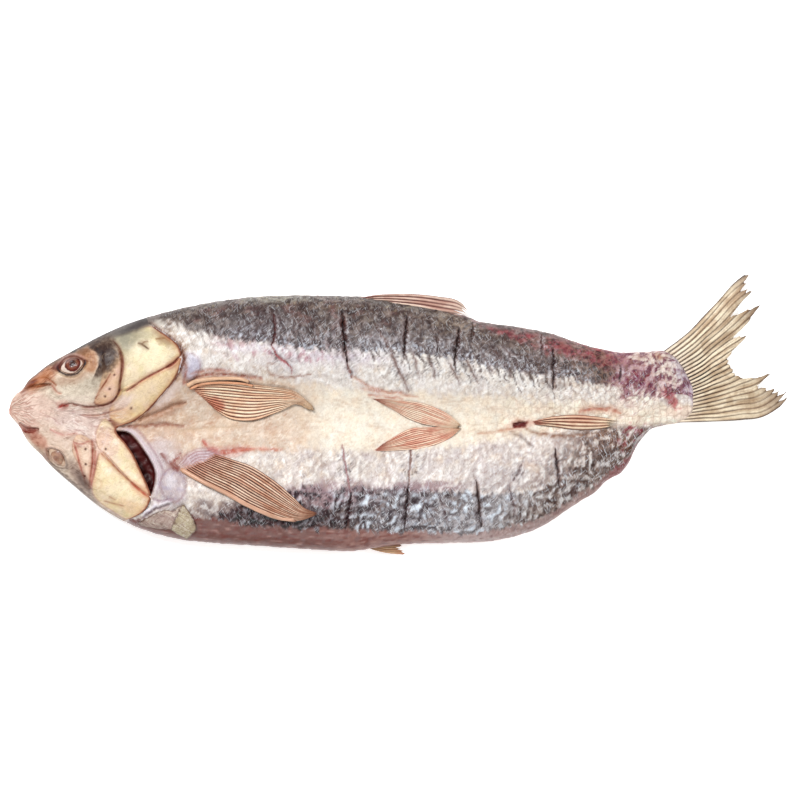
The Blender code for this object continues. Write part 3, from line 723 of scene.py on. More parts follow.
def headPaint(x, y, below):
    side = unrolled(x, y, below)
    paint = Paint(x.shape, (228, 208, 188))
    fine = clouds(x, side, 3.0, 3, 32)
    paint.shift((9, 6, 4), clouds(x, side, 14, 3, 31))
    patches(paint, x, y,
            ((212, 188, 180), (-240, -8), (66, 24), -12, 0.35, 0.25, 6, 0.8),  # loose throat skin
            ((232, 218, 198), (-248, 18), (50, 20), 4, 0.35, 0.25, 7),  # upper cheek
            ((210, 184, 166), (-256, -19), (42, 16), -22, 0.35, 0.25, 8, 0.8),  # lower cheek
            ((240, 224, 214), (-248, -12), (24, 8), -8, 0.35, 0.25, 44, 0.6),
            ((240, 223, 207), (-250, 9.5), (30, 9), 2, 0.5, 0.3, 82, 0.8),
            # a rust-brown band under the upper eye: its brownish rim, and painted shade beneath the rim
            ((150, 112, 90), (-251, 26.5), (26, 8), 14, 0.6, 0.4, 83, 0.55))
    edgeUp, edgeLow = upperEdge(x) - y, y - lowerEdge(x)

    for facts in plates.values():
        share = loopShare(x, y, facts["outline"])
        inside = 1 - ease(0.98 - facts.get("soft", 0.0), 1.03, share)
        paint.lay(facts["tone"], inside)
        paint.lay((150, 84, 64), np.exp(-((share - 1.02) / 0.03) ** 2) * facts["rim"])
        paint.shift((-8, -14, -20), inside * ease(0.72, 1.0, share) * 0.7)
    # gill covers: yellow bone with clouds of olive, orange and pink
    cover = (np.abs(y + 4) > 2) * ease(-233, -222, x)
    cover = cover * (1 - blob(x, y, (-222, -8), (22, 26), 30, seed=45))
    paint.shift((2, 3, -13), cover * np.clip(clouds(x, side, 9, 3, 35), -1, 1))
    paint.shift((-16, -14, -16), cover * ease(0.1, 0.6, clouds(x * 0.6 + y, y - 0.4 * x, 8, 3, 36)) * 0.8)
    patches(paint, x, y,
            ((160, 152, 130), (-207, 58), (34, 22), 14, 0.9, 0.25, 10, 0.85),
            ((140, 138, 124), (-211, 57), (14, 14), 20, 0.9, 0.3, 11, 0.50),
            ((192, 182, 154), (-203, 50), (34, 24), 0, 0.5, 0.25, 46,
             0.5 * ease(0.0, 0.5, clouds(x, side, 5, 3, 37))),
            ((252, 238, 204), (-190, 45), (26, 22), -30, 0.35, 0.25, 12, 0.7),
            # a darker patch at the upper cover's upper-right corner: its brownish rim, and painted shade
            # there
            ((150, 122, 92), (-177, 58), (20, 11), -32, 0.6, 0.4, 80, 0.65),
            ((250, 234, 200), (-212, -60), (24, 16), -40, 0.35, 0.25, 13, 0.6),
            ((232, 190, 146), (-204, -72), (26, 10), -24, 0.35, 0.25, 47, 0.45),
            ((216, 156, 128), (-214, 3), (20, 16), 30, 0.5, 0.5, 9, 0.35),
            ((248, 226, 194), (-194, 18), (42, 13), 38, 0.6, 0.3, 81, 0.6))
    # a dark red-brown line along the bottom of the upper cover: its dark edge, and painted shadow under it
    paint.lay((124, 70, 54),
              0.75 * mark(x, y, [(-222, -4), (-215, -10), (-206, -8), (-197, -1.5)], 3.0, soft=2.0))
    patches(paint, x, y,
            ((238, 214, 206), (-213, 9), (18, 9), 20, 0.5, 0.5, 48, 0.7),
            ((246, 226, 216), (-213, 9), (22, 14), 20, 0.35, 0.25, 49,
             0.7 * strokes(x, side, 55, 7, 2.0, 56, 0.6)),
            ((226, 184, 168), (-226, -22), (16, 22), 20, 0.5, 0.5, 50, 0.6),
            ((246, 230, 226), (-225, -22), (18, 26), 20, 0.35, 0.25, 51,
             0.6 * strokes(x, side, 70, 7, 1.8, 57, 0.6)))
    ring = np.abs(np.hypot(x + 230, (y + 54) / 1.15) - 2.9 + 0.4 * fine)
    paint.lay((222, 180, 146), 0.45 * (1 - ease(0.3, 1.3, ring)) * np.clip(0.7 + fine, 0, 1))
    paint.lay((250, 226, 192), 0.45 * blob(x, y, (-205, 27), (22, 18), 20, 0.7, 0.3, 91))
    for points, width, _, tone in headLook["lines"]:
        broken = 0.75 + 0.5 * clouds(x, side, 4, 2, 58)
        paint.lay(tone, mark(x, y, points, width * 3.4, soft=2.2) * 0.26)
        paint.lay(tone, mark(x, y, points, width) * np.clip(broken, 0.4, 1))
    # dark skin of the crown, behind the eye and along both cut edges
    fromRim = (unrolled(x, upperEdge(x)) - unrolled(x, y)) / (0.4 + 0.02 * upperRidge(x))  # along the skin
    crown = (1 - ease(10, 24, fromRim + 5.5 * clouds(x, side, 9, 3, 14))) * ease(-272, -252, x)
    paint.lay((100, 86, 78), crown * 0.9)
    paint.lay((40, 30, 28), (1 - ease(1.0, 2.8, edgeUp + 0.6 * fine)) * ease(-292, -280, x) * 0.9)
    patches(paint, x, y,
            ((66, 60, 60), (-201, 68.5), (46, 8), 22, 0.6, 0.12, 15, 0.9),
            ((178, 172, 162), (-216, 63.5), (26, 5), 26, 0.7, 0.2, 52, 0.25),
            ((178, 130, 98), (-238.5, 41), (17, 19), 20, 0.35, 0.35, 17, 0.9),
            ((132, 84, 62), (-239, 41), (17, 18), 20, 0.4, 0.25, 64,
             0.6 * strokes(x, side, 80, 6, 2.0, 63, 0.5)),
            ((120, 82, 60), (-241.5, 47.5), (9, 6), 10, 0.5, 0.4, 65, 0.7))
    behind = loopShare(x, y, [(-240, 57), (-222, 60), (-215.5, 52), (-213.5, 43), (-218, 33), (-225, 27.5),
                              (-235, 24), (-231, 35), (-231, 45), (-238, 51)], (-225, 45))
    paint.lay((80, 62, 54), (1 - ease(0.55, 1.18, behind + 0.16 * fine)) * 0.95)
    paint.lay((56, 44, 42), (1 - ease(0.2, 0.9, behind + 0.4 * clouds(x, side, 6, 3, 59))) * 0.7)
    paint.lay((150, 132, 112), 0.5 * strokes(x, side, 68, 7, 1.7, 61, 0.5) * (1 - ease(0.7, 1.1, behind)))
    patches(paint, x, y,
            ((176, 164, 146), (-237, 22), (24, 11), 35, 0.6, 0.4, 16, 0.5),
            ((238, 224, 204), (-247, 15), (32, 12), 6, 0.7, 0.3, 90, 0.5),
            ((134, 112, 104), (-246, -48), (10, 30), 32, 0.7, 0.35, 18, 0.65),
            ((92, 76, 72), (-241, -53), (6, 18), 30, 0.7, 0.35, 62, 0.6))
    paint.lay((112, 92, 80), 0.8 * (1 - ease(1.5, 6.0, edgeLow + 2 * fine)) * ease(-282, -262, x)
              * (1 - ease(-236, -226, x)))
    paint.lay((150, 128, 112), 0.8 * (1 - ease(1.0, 3.5, edgeLow + fine)) * ease(-236, -226, x))
    paint.lay((150, 112, 88), 0.45 * blob(x, y, (-272, -30), (20, 8), -44, seed=19))
    # nostril, bridge and mouth corners
    patches(paint, x, y,
            ((186, 124, 90), (-276, 27), (32, 13), 36, 0.5, 0.35, 20, 0.85),
            ((120, 64, 46), (-284, 21.5), (15, 5), 34, 0.5, 0.25, 21, 0.7),
            ((116, 66, 48), (-272, 29), (36, 15), 34, 0.5, 0.25, 22,
             0.8 * strokes(x, side, 32, 9, 2.0, 51, 0.6)),
            ((236, 196, 168), (-270, 26), (30, 14), 34, 0.5, 0.25, 53,
             0.5 * strokes(x, side, 38, 8, 1.8, 60, 0.5)))
    paint.lay((88, 68, 58),
              0.7 * (1 - ease(0.4, 2.6, edgeUp)) * ease(-294, -282, x) * (1 - ease(-258, -248, x)))
    patches(paint, x, y,
            ((120, 92, 74), (-262, 42), (16, 8), 36, 0.5, 0.4, 54, 0.6),
            ((96, 30, 24), (-285, -12.2), (12, 6), -14, 0.3, 0.2, 23, 0.95),
            ((176, 112, 94), (-277, -20), (18, 9), -40, 0.5, 0.25, 24, 0.6))
    # chin with creases that run out from the snout
    fromSnout = np.hypot(x + 302, y - 3)
    around = np.arctan2(y - 3, x + 302)
    chin = (1 - ease(16, 38, fromSnout)) * (1 - ease(13, 20, np.abs(y - 3)))
    paint.lay((232, 204, 190), chin * 0.6)
    ray = np.abs(noise(around * 8 + 0.5 * noise(fromSnout / 5, around * 3, 5), fromSnout / 16, 8))
    paint.lay((190, 142, 128), chin * 0.7 * np.clip(1 - ray * 4.2, 0, 1))
    paint.lay((184, 118, 104), 0.6 * (1 - ease(0, 5, fromSnout - 2)))
    # rims of the eye sockets
    for at, size, turn, strength in headLook["eyes"]:
        far = openingShare(x, y, at, size, turn)
        upSide = ease(-3, 5, (y - at[1]) - 0.25 * (x - at[0]))
        uneven = far + 0.06 * fine
        paint.lay((176, 134, 122), strength * 0.8 * upSide * (1 - ease(1.15, 1.6, uneven)))
        paint.lay((92, 44, 40),
                  strength * 0.8 * blob(x, y, (at[0] - 11, at[1] - 1), (9, 6), 30, 0.5, 0.3, 66))
        paint.lay((216, 186, 150), strength * 0.4 * (1 - upSide) * np.exp(-((uneven - 1.38) / 0.14) ** 2))
        paint.lay((38, 18, 14), strength * (1 - 0.6 * upSide) * np.exp(-((uneven - 1.06) / 0.10) ** 2))
        paint.lay((104, 56, 48), strength * 0.6 * upSide * np.exp(-((uneven - 1.02) / 0.10) ** 2))
    # creases, painted darker as their shade, and pores
    creases = strokes(x, side, 25, 8, 1.8, 52, 0.35) + strokes(x, side, -28, 9, 1.8, 53, 0.4)
    paint.shift((-40, -42, -40), creases * (1 - 0.8 * cover) * 0.8)
    loose = blob(x, y, (-238, -8), (70, 34), -14, seed=4)
    paint.lay((160, 120, 116), 0.65 * loose * strokes(x, side, -16, 12, 2.0, 54, 0.55))
    paint.lay((250, 240, 232), 0.6 * loose * strokes(x, side, -8, 10, 2.4, 55, 0.5))
    for at in headLook["pores"]:
        paint.lay((70, 38, 32), np.exp(-((x - at[0]) ** 2 + (y - at[1]) ** 2) / 0.7))
    paint.shift((12, 12, 12), fine * (1 - 0.5 * cover))
    toLip = trailingEdge(y) - x
    paint.lay((104, 46, 38), 0.85 * (1 - ease(0.5, 2.2, toLip + 0.5 * fine)))
    paint.lay((206, 150, 116), 0.35 * (1 - ease(1.5, 6, toLip + fine)) * (1 - ease(60, 64, y)))
    return paint


def makeHead():
    look = headLook
    count, wall = look["cells"], look["wall"]
    across = columnShares(count + 1 - 2 * wall)
    sideWall = np.linspace(0, 1, wall + 1)[1:]
    rows = count + 1 - 2 - wall
    along = np.linspace(0, 1, rows)
    along = 0.86 * along + 0.14 * (1 - np.cos(along * math.pi)) / 2
    v = np.concatenate([np.full(wall, -1.0), across, np.full(wall, 1.0)])[None, :]
    end = np.full(v.shape, -200.0)
    for _ in range(60):
        y = np.where(v > 0, bellyLine(end) + v * (upperEdge(end) - bellyLine(end)),
                     bellyLine(end) + v * (bellyLine(end) - lowerEdge(end)))
        end = 0.6 * end + 0.4 * trailingEdge(y)
    x = -300 + (end + 300) * along[:, None]
    y = np.where(v > 0, bellyLine(x) + v * (upperEdge(x) - bellyLine(x)),
                 bellyLine(x) + v * (bellyLine(x) - lowerEdge(x)))
    z = skinHeight(x, y)
    fade = ease(0, 0.35, 1 - np.abs(v))
    z = z + headRelief(x, y) * (0.25 + 0.75 * fade) * ease(-300, -296, x)
    z = np.maximum(z, 1.0)
    softTop, softReach = look["softTop"], look["softReach"]  # above this height the crown flattens out
    z = np.where(z > softTop, softTop + softReach * np.tanh((z - softTop) / softReach), z)
    t = np.zeros(v.shape[1])
    t[:wall], t[-wall:] = sideWall[::-1], sideWall
    side = np.sign(v[0])
    below = t[None, :] * z
    paint = headPaint(x, y, below)

    # side walls: the skin rolls under to the table
    wallSkin = ease(0.02, 0.3, t)[None, :] * ease(-288, -268, x)
    paint.lay((98, 86, 80), wallSkin * (side > 0) * 0.75)
    paint.lay((150, 128, 112), wallSkin * (side < 0) * 0.6)
    paint.lay((64, 54, 52), wallSkin * ease(0.0, 0.5, clouds(x, below + 40, 6, 3, 69)) * (side > 0) * 0.6)
    paint.lay((120, 92, 78), wallSkin * ease(0.0, 0.5, clouds(x, below - 40, 6, 3, 70)) * (side < 0) * 0.5)
    half = np.where(side > 0, upperEdge(x) - bellyLine(x), bellyLine(x) - lowerEdge(x))
    tuck = np.minimum(body["tuck"], 0.25 * half)
    y = y + side * (0.4 * np.sin(math.pi * t) - tuck * t**2) * np.minimum(half / 10, 1)
    z = z * (1 - t[None, :]) + 0.35 * t[None, :]
    downWall = t[None, :]
    paint.lay((150, 104, 82), ease(0.45, 0.8, downWall + 0.2 * clouds(x, below, 5, 3, 67)) * 0.85)
    paint.lay((104, 62, 50), strokes(x, below, 0, 16, 2.2, 68, 0.5) * ease(0.4, 0.7, downWall) * 0.6)

    # rows round the snout and round the lip of the gill covers
    down = np.linspace(1, 0, wall + 1)[:-1, None]
    front = np.stack([x[0] + 1.5 * down**2, np.tile(y[0], (wall, 1)),
                      0.3 + (z[0] - 0.3) * (1 - down)], axis=-1)
    lipDrop = look["lip"] * np.clip(z[-1] / 6, 0, 1)
    back = np.stack([np.stack([x[-1] + 0.25, y[-1], z[-1] - 0.5 * lipDrop], axis=-1),
                     np.stack([x[-1] - 0.3, y[-1], z[-1] - lipDrop], axis=-1)])
    top = np.concatenate([front, np.dstack([x, y, z]), back])
    colour = paint.linear()
    # the two rows that roll under the covers' lip are painted darker, as painted shade under the lip
    colour = np.concatenate([np.tile(colour[:1], (wall, 1, 1)), colour,
                             np.tile(colour[-1:] * 0.6, (2, 1, 1))])

    # underside: thin under the lips, down to the table before them
    low = top[::3, ::3].copy()
    fromLip = end[:, ::3] - low[..., 0]
    reach = look["lipReach"] + (look["pocketReach"] - look["lipReach"]) * (1 - ease(-18, -12, low[..., 1]))
    reach = reach * ease(-88, -74, low[..., 1])
    sink = ease(0, 1, (fromLip - reach) / 3.5)
    flesh = 0.45 + 0.9 * np.abs(clouds(low[..., 0], low[..., 1], 9, 3, 61)) * (1 - np.abs(v[:, ::3]))
    thin = low[..., 2] - look["lip"] - 0.4 * np.clip(fromLip / 4, 0, 1)
    low[..., 2] = np.clip(thin * (1 - sink) + flesh * sink, 0.35, np.maximum(low[..., 2] - 0.4, 0.36))
    points, faces = closedShell(top, low, 3)

    under = Paint(low.shape[:2], (172, 116, 86))
    lx, ly = low[..., 0], low[..., 1]
    under.shift((26, 22, 20), clouds(lx, ly, 12, 3, 62))
    under.lay((206, 176, 142), 0.7 * ease(0.1, 0.6, clouds(lx, ly, 20, 2, 63)))
    under.lay((116, 58, 46), 0.8 * strokes(lx, ly, 30, 16, 4, 64, 0.5))
    # dark red under the covers' lip: the cover's inner side, and painted shade under its overhang
    under.lay((58, 20, 16), 1 - sink)
    colour = np.concatenate([colour.reshape(-1, 3), under.linear()[1:-1, 1:-1].reshape(-1, 3)])
    gloss = np.clip(0.45 + 0.25 * clouds(points[:, 0], points[:, 1], 12, 2, 66), 0, 1)
    paleness = ease(0.12, 0.45, colour[:, 1])
    headFoil = 0.35 * paleness
    head = makeMesh("head", points, faces, colour, gloss=gloss, foil=headFoil)
    print("head", len(points), "points")
    return head


# trunk

cuts = {  # knife cuts and deep folds: line from the back towards the belly, width, depth, colour
    "deep": [
        ([(-43, 80), (-41.5, 60), (-39, 38)], 2.6, 3.4, (56, 34, 32)),
        ([(-39, 38), (-36.5, 30), (-35, 27)], 1.4, 1.4, (150, 104, 96)),
        ([(-96, 77), (-94, 62), (-97, 52)], 1.9, 2.2, (104, 60, 60)),
        ([(-97, 52), (-92, 44), (-84, 37), (-81, 30)], 1.7, 1.4, (176, 96, 100)),
        ([(7, 76), (5.5, 58), (4.5, 41)], 2.0, 2.8, (62, 46, 44)),
        ([(47, 66), (45, 52), (42.5, 36)], 2.6, 3.0, (72, 58, 56)),
        ([(29, 60), (31, 50), (32, 42)], 1.6, 1.6, (98, 86, 82)),
        ([(57, 70), (57, 62), (56, 56)], 1.6, 1.8, (90, 76, 70)),
        ([(110, 61), (110.5, 53), (110.5, 45)], 1.2, 1.6, (88, 60, 60)),
        ([(119, 50), (119.5, 34), (119, 18)], 2.2, 2.8, (66, 52, 54)),
        ([(10, -20), (9.5, -38), (8, -56)], 0.9, 0.9, (142, 108, 98)),
        ([(7.5, -56), (6.5, -72), (4.5, -91)], 2.0, 3.0, (74, 56, 58)),
        ([(60, -50), (62, -70), (64, -88)], 1.9, 3.0, (88, 72, 70)),
        ([(-36, -60), (-37.5, -72), (-40, -88)], 2.6, 2.8, (70, 50, 54)),
        ([(-43, -23), (-40, -42), (-36, -60)], 1.0, 0.8, (168, 120, 122)),
        ([(121, -26), (122.5, -42), (124, -58)], 2.0, 2.4, (82, 66, 66)),
        ([(171, 38), (171, 30), (170, 24)], 1.2, 1.2, (80, 56, 64)),
    ],
    "folds": [
        ([(-18, 70), (-8, 52), (2, 30), (9, 16)], 1.6, 1.3, (128, 104, 98)),
        ([(22, 44), (27, 34), (28, 26)], 1.2, 1.0, (120, 102, 98)),
        ([(62, 50), (68, 40), (73, 30)], 1.3, 1.2, (112, 98, 96)),
        ([(70, 52), (80, 40), (88, 27)], 1.4, 1.2, (108, 96, 96)),
        ([(80, 52), (90, 40), (100, 28)], 1.2, 1.1, (112, 98, 98)),
        ([(38, 40), (44, 30), (48, 22)], 1.2, 1.0, (130, 112, 106)),
        ([(50, 46), (56, 34), (62, 22)], 1.2, 1.1, (124, 108, 102)),
        ([(10, 50), (14, 38), (16, 26)], 1.0, 0.8, (140, 122, 116)),
        ([(-70, -58), (-66, -72), (-62, -84)], 1.4, 1.2, (96, 76, 84)),
        ([(30, -58), (34, -70), (38, -84)], 1.4, 1.2, (92, 80, 86)),
        ([(84, -54), (88, -66), (90, -80)], 1.4, 1.2, (92, 82, 86)),
        ([(96, -36), (92, -46), (88, -52)], 1.3, 1.1, (90, 80, 82)),
    ],
}
gill = {
    "cover": [(-217, -12.5), (-210, -21), (-203, -32), (-197, -44), (-192, -55), (-188, -64)],
    "shoulder": [(-217, -12.7), (-206.2, -15), (-195.4, -27.3), (-187, -41.2), (-185.8, -51.2),
                 (-188.5, -62.7)],
    "rim": [(-214, -11.5), (-203.5, -14.6), (-193, -27), (-184.6, -41), (-183, -52), (-186.5, -67)],
    "floor": 9.0,
}
bands = {  # borders between the fields of colour, y for each x
    "back": through([(-232, 82), (-190, 77), (-175, 73), (-160, 66), (-145, 61), (-121, 57), (-98, 55),
                     (-75, 51),
                     (-45, 49.5), (-14, 48.5), (17, 47), (48, 42), (78, 35.5), (109, 30), (140, 26),
                     (171, 22), (200, 20)]),
    "redBack": through([(20, 90), (60, 70), (80, 60), (100, 53), (125, 45), (150, 38), (172, 32), (200, 44)]),
    "cream": through([(-232, 30), (-160, 30), (-75, 25), (-37, 18), (40, 16), (78, 12.5), (117, 10), (155, 8),
                      (200, 7)]),
    "lowCream": through([(-232, -30), (-152, -28), (-75, -27), (0, -28), (40, -26), (78, -20), (117, -15),
                         (155, -12),
                         (190, -10)]),
    "blue": through([(-232, -88), (-160, -82), (-142, -79), (-128, -73), (-114, -66), (-75, -57), (0, -57),
                     (30, -60),
                     (78, -62), (105, -60), (125, -50), (155, -30), (190, -14)]),
    "brown": through([(-232, -84), (-152, -80), (-100, -88), (-60, -89), (0, -92), (60, -91), (100, -84),
                      (140, -62),
                      (170, -40), (195, -14)]),
}
trunkLook = {
    "rows": 450, "columns": 189, "wall": 5, "front": -233.0, "end": 231.0, "coarse": 3,
    "scale": 7.0, "scaleLift": 0.38, "crumple": 0.9,
    # drawn folds and veins: points, width, depth, colour
    "strokes": [
        ([(-200, -5.5), (-186, 0), (-172, 6), (-162, 9)], 3.2, 1.8, (150, 104, 80)),
        ([(-214, -10.5), (-198, -9.5), (-180, -8.5), (-164, -10)], 1.5, 1.4, (140, 88, 70)),
        ([(-194, 6), (-184, 15), (-174, 25)], 1.6, 1.4, (196, 150, 132)),
        ([(-166, 46), (-162.5, 34), (-165, 22)], 1.4, 1.2, (158, 98, 84)),
        ([(-165, 23), (-152, 28.5), (-138, 30.5), (-118, 28.5), (-104, 27)], 1.6, 1.2, (150, 82, 66)),
        ([(-160, 30), (-146, 33.5), (-128, 33)], 1.0, 0.8, (170, 110, 96)),
        ([(-172, -14), (-150, -12), (-120, -10)], 1.6, 0.7, (206, 178, 152)),
        ([(-147, -27), (-139, -30), (-128, -29), (-112, -26.5)], 3.6, 0.9, (178, 72, 56)),
        ([(-128, -29), (-108, -27), (-88, -28)], 1.2, 0.6, (196, 118, 96)),
        ([(-152, -20), (-146, -25), (-138, -28)], 2.0, 0.8, (180, 92, 78)),
        ([(-183, -30), (-175, -38), (-167, -43)], 2.0, 1.4, (122, 60, 52)),
        ([(-167, -30), (-172, -38), (-168, -44)], 1.6, 0.9, (146, 86, 78)),
        ([(-196, -78), (-186, -71), (-173, -67)], 3.2, -1.6, (238, 232, 242)),
        ([(-197, -80.5), (-186, -73.5), (-175, -70)], 0.9, 1.0, (112, 84, 92)),
        ([(-188, -66), (-180, -66.5), (-172, -65.5)], 1.0, 0.8, (140, 112, 126)),
        ([(-101, 34), (-97, 30), (-86, 28), (-75, 29), (-66, 30)], 0.8, 0.5, (150, 112, 98)),
        ([(-101, 34), (-100, 38), (-95, 38)], 0.7, 0.3, (160, 126, 114)),
        ([(-36, 29), (-22, 21), (-8, 16)], 0.9, 0.6, (196, 140, 122)),
        ([(-30, 20), (-12, 16.5), (2, 16)], 0.9, 0.6, (186, 130, 110)),
        ([(-6, 18), (6, 14.5), (16, 12.5)], 0.9, 0.6, (184, 128, 108)),
        ([(-24, 14.5), (-10, 13), (4, 11.5)], 0.8, 0.5, (190, 124, 106)),
        ([(60, -16), (78, -13.5), (90, -11)], 1.0, 0.6, (196, 150, 126)),
        ([(98, -12), (112, -16), (130, -17), (156, -15)], 1.4, 1.0, (140, 100, 80)),
        ([(138, 1), (150, 3.5), (164, 3), (172, 0)], 2.6, 0.5, (184, 116, 96)),
        ([(86, -14), (96, -19), (104, -26)], 1.0, 0.8, (120, 100, 92)),
    ],
}


def gillPocket(x, y):
    # 1 in the open gill cavity, with the part that reaches under the cover
    t = np.linspace(0, 1, 24)
    inner, outer = curve(gill["cover"], t), curve(gill["shoulder"], t)
    order = np.argsort(inner[:, 1])
    innerX = np.interp(y, inner[order, 1], inner[order, 0])
    order = np.argsort(outer[:, 1])
    outerX = np.interp(y, outer[order, 1], outer[order, 0])
    between = ease(-63.5, -59, y) * (1 - ease(-15.5, -12.7, y))
    return ease(innerX - 10, innerX - 7, x) * (1 - ease(outerX - 2.6, outerX, x)) * between


def elongated(x, y, angle, length, width, seed):
    # noise drawn out along an angle
    a = math.radians(angle)
    return noise((x * math.cos(a) + y * math.sin(a)) / length, (y * math.cos(a) - x * math.sin(a)) / width,
                 seed)


def trunkFields(x, y):
    # share of each field of colour at every point
    wander = 2.6 * clouds(x, y, 15, 3, 73) + 3.4 * elongated(x, y, -62, 9, 2.6, 74)
    yy = y + wander
    up = halfShare(x, y) > 0
    back = ease(-1.6, 1.6, yy - bands["back"](x)) * up
    redBack = ease(-3, 3, yy - bands["redBack"](x)) * up * ease(25, 60, x)
    cream = (1 - ease(-4, 4, yy - bands["cream"](x))) * ease(-4, 4, yy - bands["lowCream"](x))
    blue = (1 - ease(-2.0, 2.0, yy - bands["blue"](x))) * ~up
    brown = (1 - ease(-1.6, 1.6, yy - bands["brown"](x))) * ~up
    rear = ease(118, 156, x + 0.8 * (-18 - y)) * ~up * (1 - ease(-14, -7, y))
    tail = ease(160, 186, x + 20 * clouds(x, y, 18, 2, 75)) * up
    silver = (1 - back) * (1 - cream) * up
    lowSilver = (1 - blue) * (1 - cream) * ~up
    fromBack = yy - bands["back"](x)
    return up, back, redBack, cream, blue, brown, rear, tail, silver, lowSilver, fromBack


def trunkSkin(x, y, below):
    # height, paint, gloss, foil and net of the skin, which share their masks
    side = unrolled(x, y, below)
    warpX = x + 1.6 * clouds(x, side, 11, 2, 71)
    warpY = side + 1.6 * clouds(x, side, 11, 2, 72)
    edgeUp = upperEdge(x) - y
    up, back, redBack, cream, blue, brown, rear, tail, silver, lowSilver, fromBack = trunkFields(x, y)
    slate = ease(-70, 0, x)
    pale = ease(20, 80, x)
    foil = blue * (1 - brown) * (1 - 0.35 * rear)
    nearSilver = back * np.exp(-np.clip(fromBack, 0, 90) / 11) * (1 - ease(140, 160, x)) * ease(-165, -110, x)
    collar = (1 - ease(5, 12, edgeUp + 4 * clouds(x, side, 6, 3, 150))) * (1 - ease(-170, -145, x)) * up
    silver = silver * (1 - 0.95 * collar)

    # patterns
    tilt, scaleChance, scaleRim = scaleTiles(warpX, warpY, trunkLook["scale"], 81)
    scaled = 0.2 + 0.8 * np.clip(ease(20, 130, x), 0, 1)
    scaled = scaled * (1 - 0.85 * ease(0.25, 0.6, clouds(x, side, 26, 2, 76)) * (1 - ease(120, 160, x)))
    broad, broadLit, _ = folds(x, side, 8.5, 1.4, -58, 84)
    cross, _, crossCrest = folds(x, side, 5.2, 2.2, 48, 86)
    steep, steepLit, steepCrest = folds(x, side, 4.0, 3.6, -64, 90)
    streak, level, border = facets(warpX, warpY, 9.5, 1.9, 88)
    streak2, level2, _ = facets(warpX + 40, warpY, 5.5, 1.5, 92)
    crease, beside, depthShare = comb(x + 1.2 * clouds(x, side, 7, 2, 95), fromBack, 6.4, 0.52, 96)
    patchy = ease(-0.35, 0.35, clouds(x, side, 14, 2, 94))
    wrinkled = 0.35 + 0.65 * ease(-60, 0, x) * (1 - ease(110, 150, x))
    belly = strokes(x, side, 6, 20, 3.0, 89, 0.45) + 0.6 * strokes(x, side, -24, 12, 2.4, 90, 0.4)

    # relief
    lift = 0.8 * clouds(x, side, 24, 3, 77) + 0.25 * clouds(x, side, 5, 2, 78)
    lift = lift + trunkLook["scaleLift"] * scaled * ((tilt - 0.5) * 1.6 - 0.7 * scaleRim)
    crumpled = np.clip(foil + 0.35 * back + 0.3 * lowSilver + 0.3 * silver + 0.5 * rear, 0, 1)
    lift = lift + trunkLook["crumple"] * crumpled * (0.75 * broad + 0.6 * cross + 1.3)
    lift = lift + 0.35 * crumpled * np.clip(streak, -0.8, 0.8)
    lift = lift + (0.8 * wrinkled * silver + 0.3 * back) * (steep + 0.5)
    lift = lift - 0.9 * crease * (silver + back) * wrinkled + 0.35 * beside * silver * wrinkled
    lift = lift - 0.25 * belly * cream * (1 - ease(-70, -40, x) * (1 - ease(-10, 20, x)))
    lift = lift + 1.1 * blob(x, y, (-94, 87), (46, 9), 0, 0.5, 0.3, 60)
    lift = lift + 1.3 * blob(x, y, (66, 65), (30, 16), -20, 0.5, 0.4, 61)

    # colour: fields first
    paint = Paint(x.shape, (234, 226, 219))
    paint.lay((242, 234, 224), silver * ease(-40, 20, x) * 0.8)
    paint.lay((232, 222, 212), lowSilver)
    paint.lay((234, 227, 224), lowSilver * ease(-60, 10, x) * 0.7)
    paint.lay((244, 233, 215), cream)
    paint.lay((212, 190, 170), cream * (1 - ease(-95, -45, x)) * 0.95)
    paint.lay((196, 160, 138), cream * (1 - ease(-185, -150, x)) * 0.5)
    paint.lay((230, 208, 186), cream * blob(x, y, (-138, -8), (44, 13), 8, 0.5, 0.4, 78) * 0.8)
    paint.lay((206, 172, 148),
              cream * (1 - ease(-110, -60, x)) * ease(0.1, 0.6, clouds(x, side, 12, 3, 125)) * 0.5)
    paint.lay((243, 234, 217), cream * blob(x, y, (-32, -6), (54, 44), 0, 0.4, seed=25))
    paint.lay((242, 236, 230), silver * blob(x, y, (0, 24), (130, 26), -4, 0.5, seed=80) * 0.45)
    paint.shift((4, -2, -8), cream * np.clip(clouds(x, side, 9, 3, 79), -1, 1))
    paint.lay((243, 217, 200), 0.5 * cream * ease(0.0, 0.6, clouds(x, side, 7, 3, 126)) * ease(60, 110, x))
    paint.lay((222, 212, 214), 0.4 * silver * ease(0.0, 0.6, clouds(x, side, 12, 3, 127)))
    paint.lay((236, 216, 194), 0.55 * silver * ease(0.1, 0.6, clouds(x, side, 9, 3, 128)))
    paint.lay((210, 200, 204), 0.5 * lowSilver * ease(0.0, 0.6, clouds(x, side, 12, 3, 91)))
    paint.lay((232, 210, 188), 0.55 * lowSilver * ease(0.0, 0.6, clouds(x, side, 10, 3, 129)))
    nearBack = np.exp(-((fromBack + 6) / 6.0) ** 2) * up
    violet = nearBack * (1 - ease(-30, 10, x)) * ease(-150, -125, x) * (1 - back)
    paint.lay((228, 216, 230), violet * 0.85)
    paint.lay((240, 232, 234), silver * blob(x, y, (-84, 40), (44, 16), -4, 0.5, 0.3, 84) * 0.5)
    reddish = nearBack * (1 - ease(-60, -40, x)) * ease(-150, -124, x)
    reddish = reddish * ease(-0.05, 0.25, clouds(x, side, 8, 3, 92))
    paint.lay((170, 96, 112), reddish * 0.6)
    paint.lay((150, 98, 96), 0.6 * blob(x, y, (-128, 62), (30, 16), -20, 0.5, 0.5, 62))

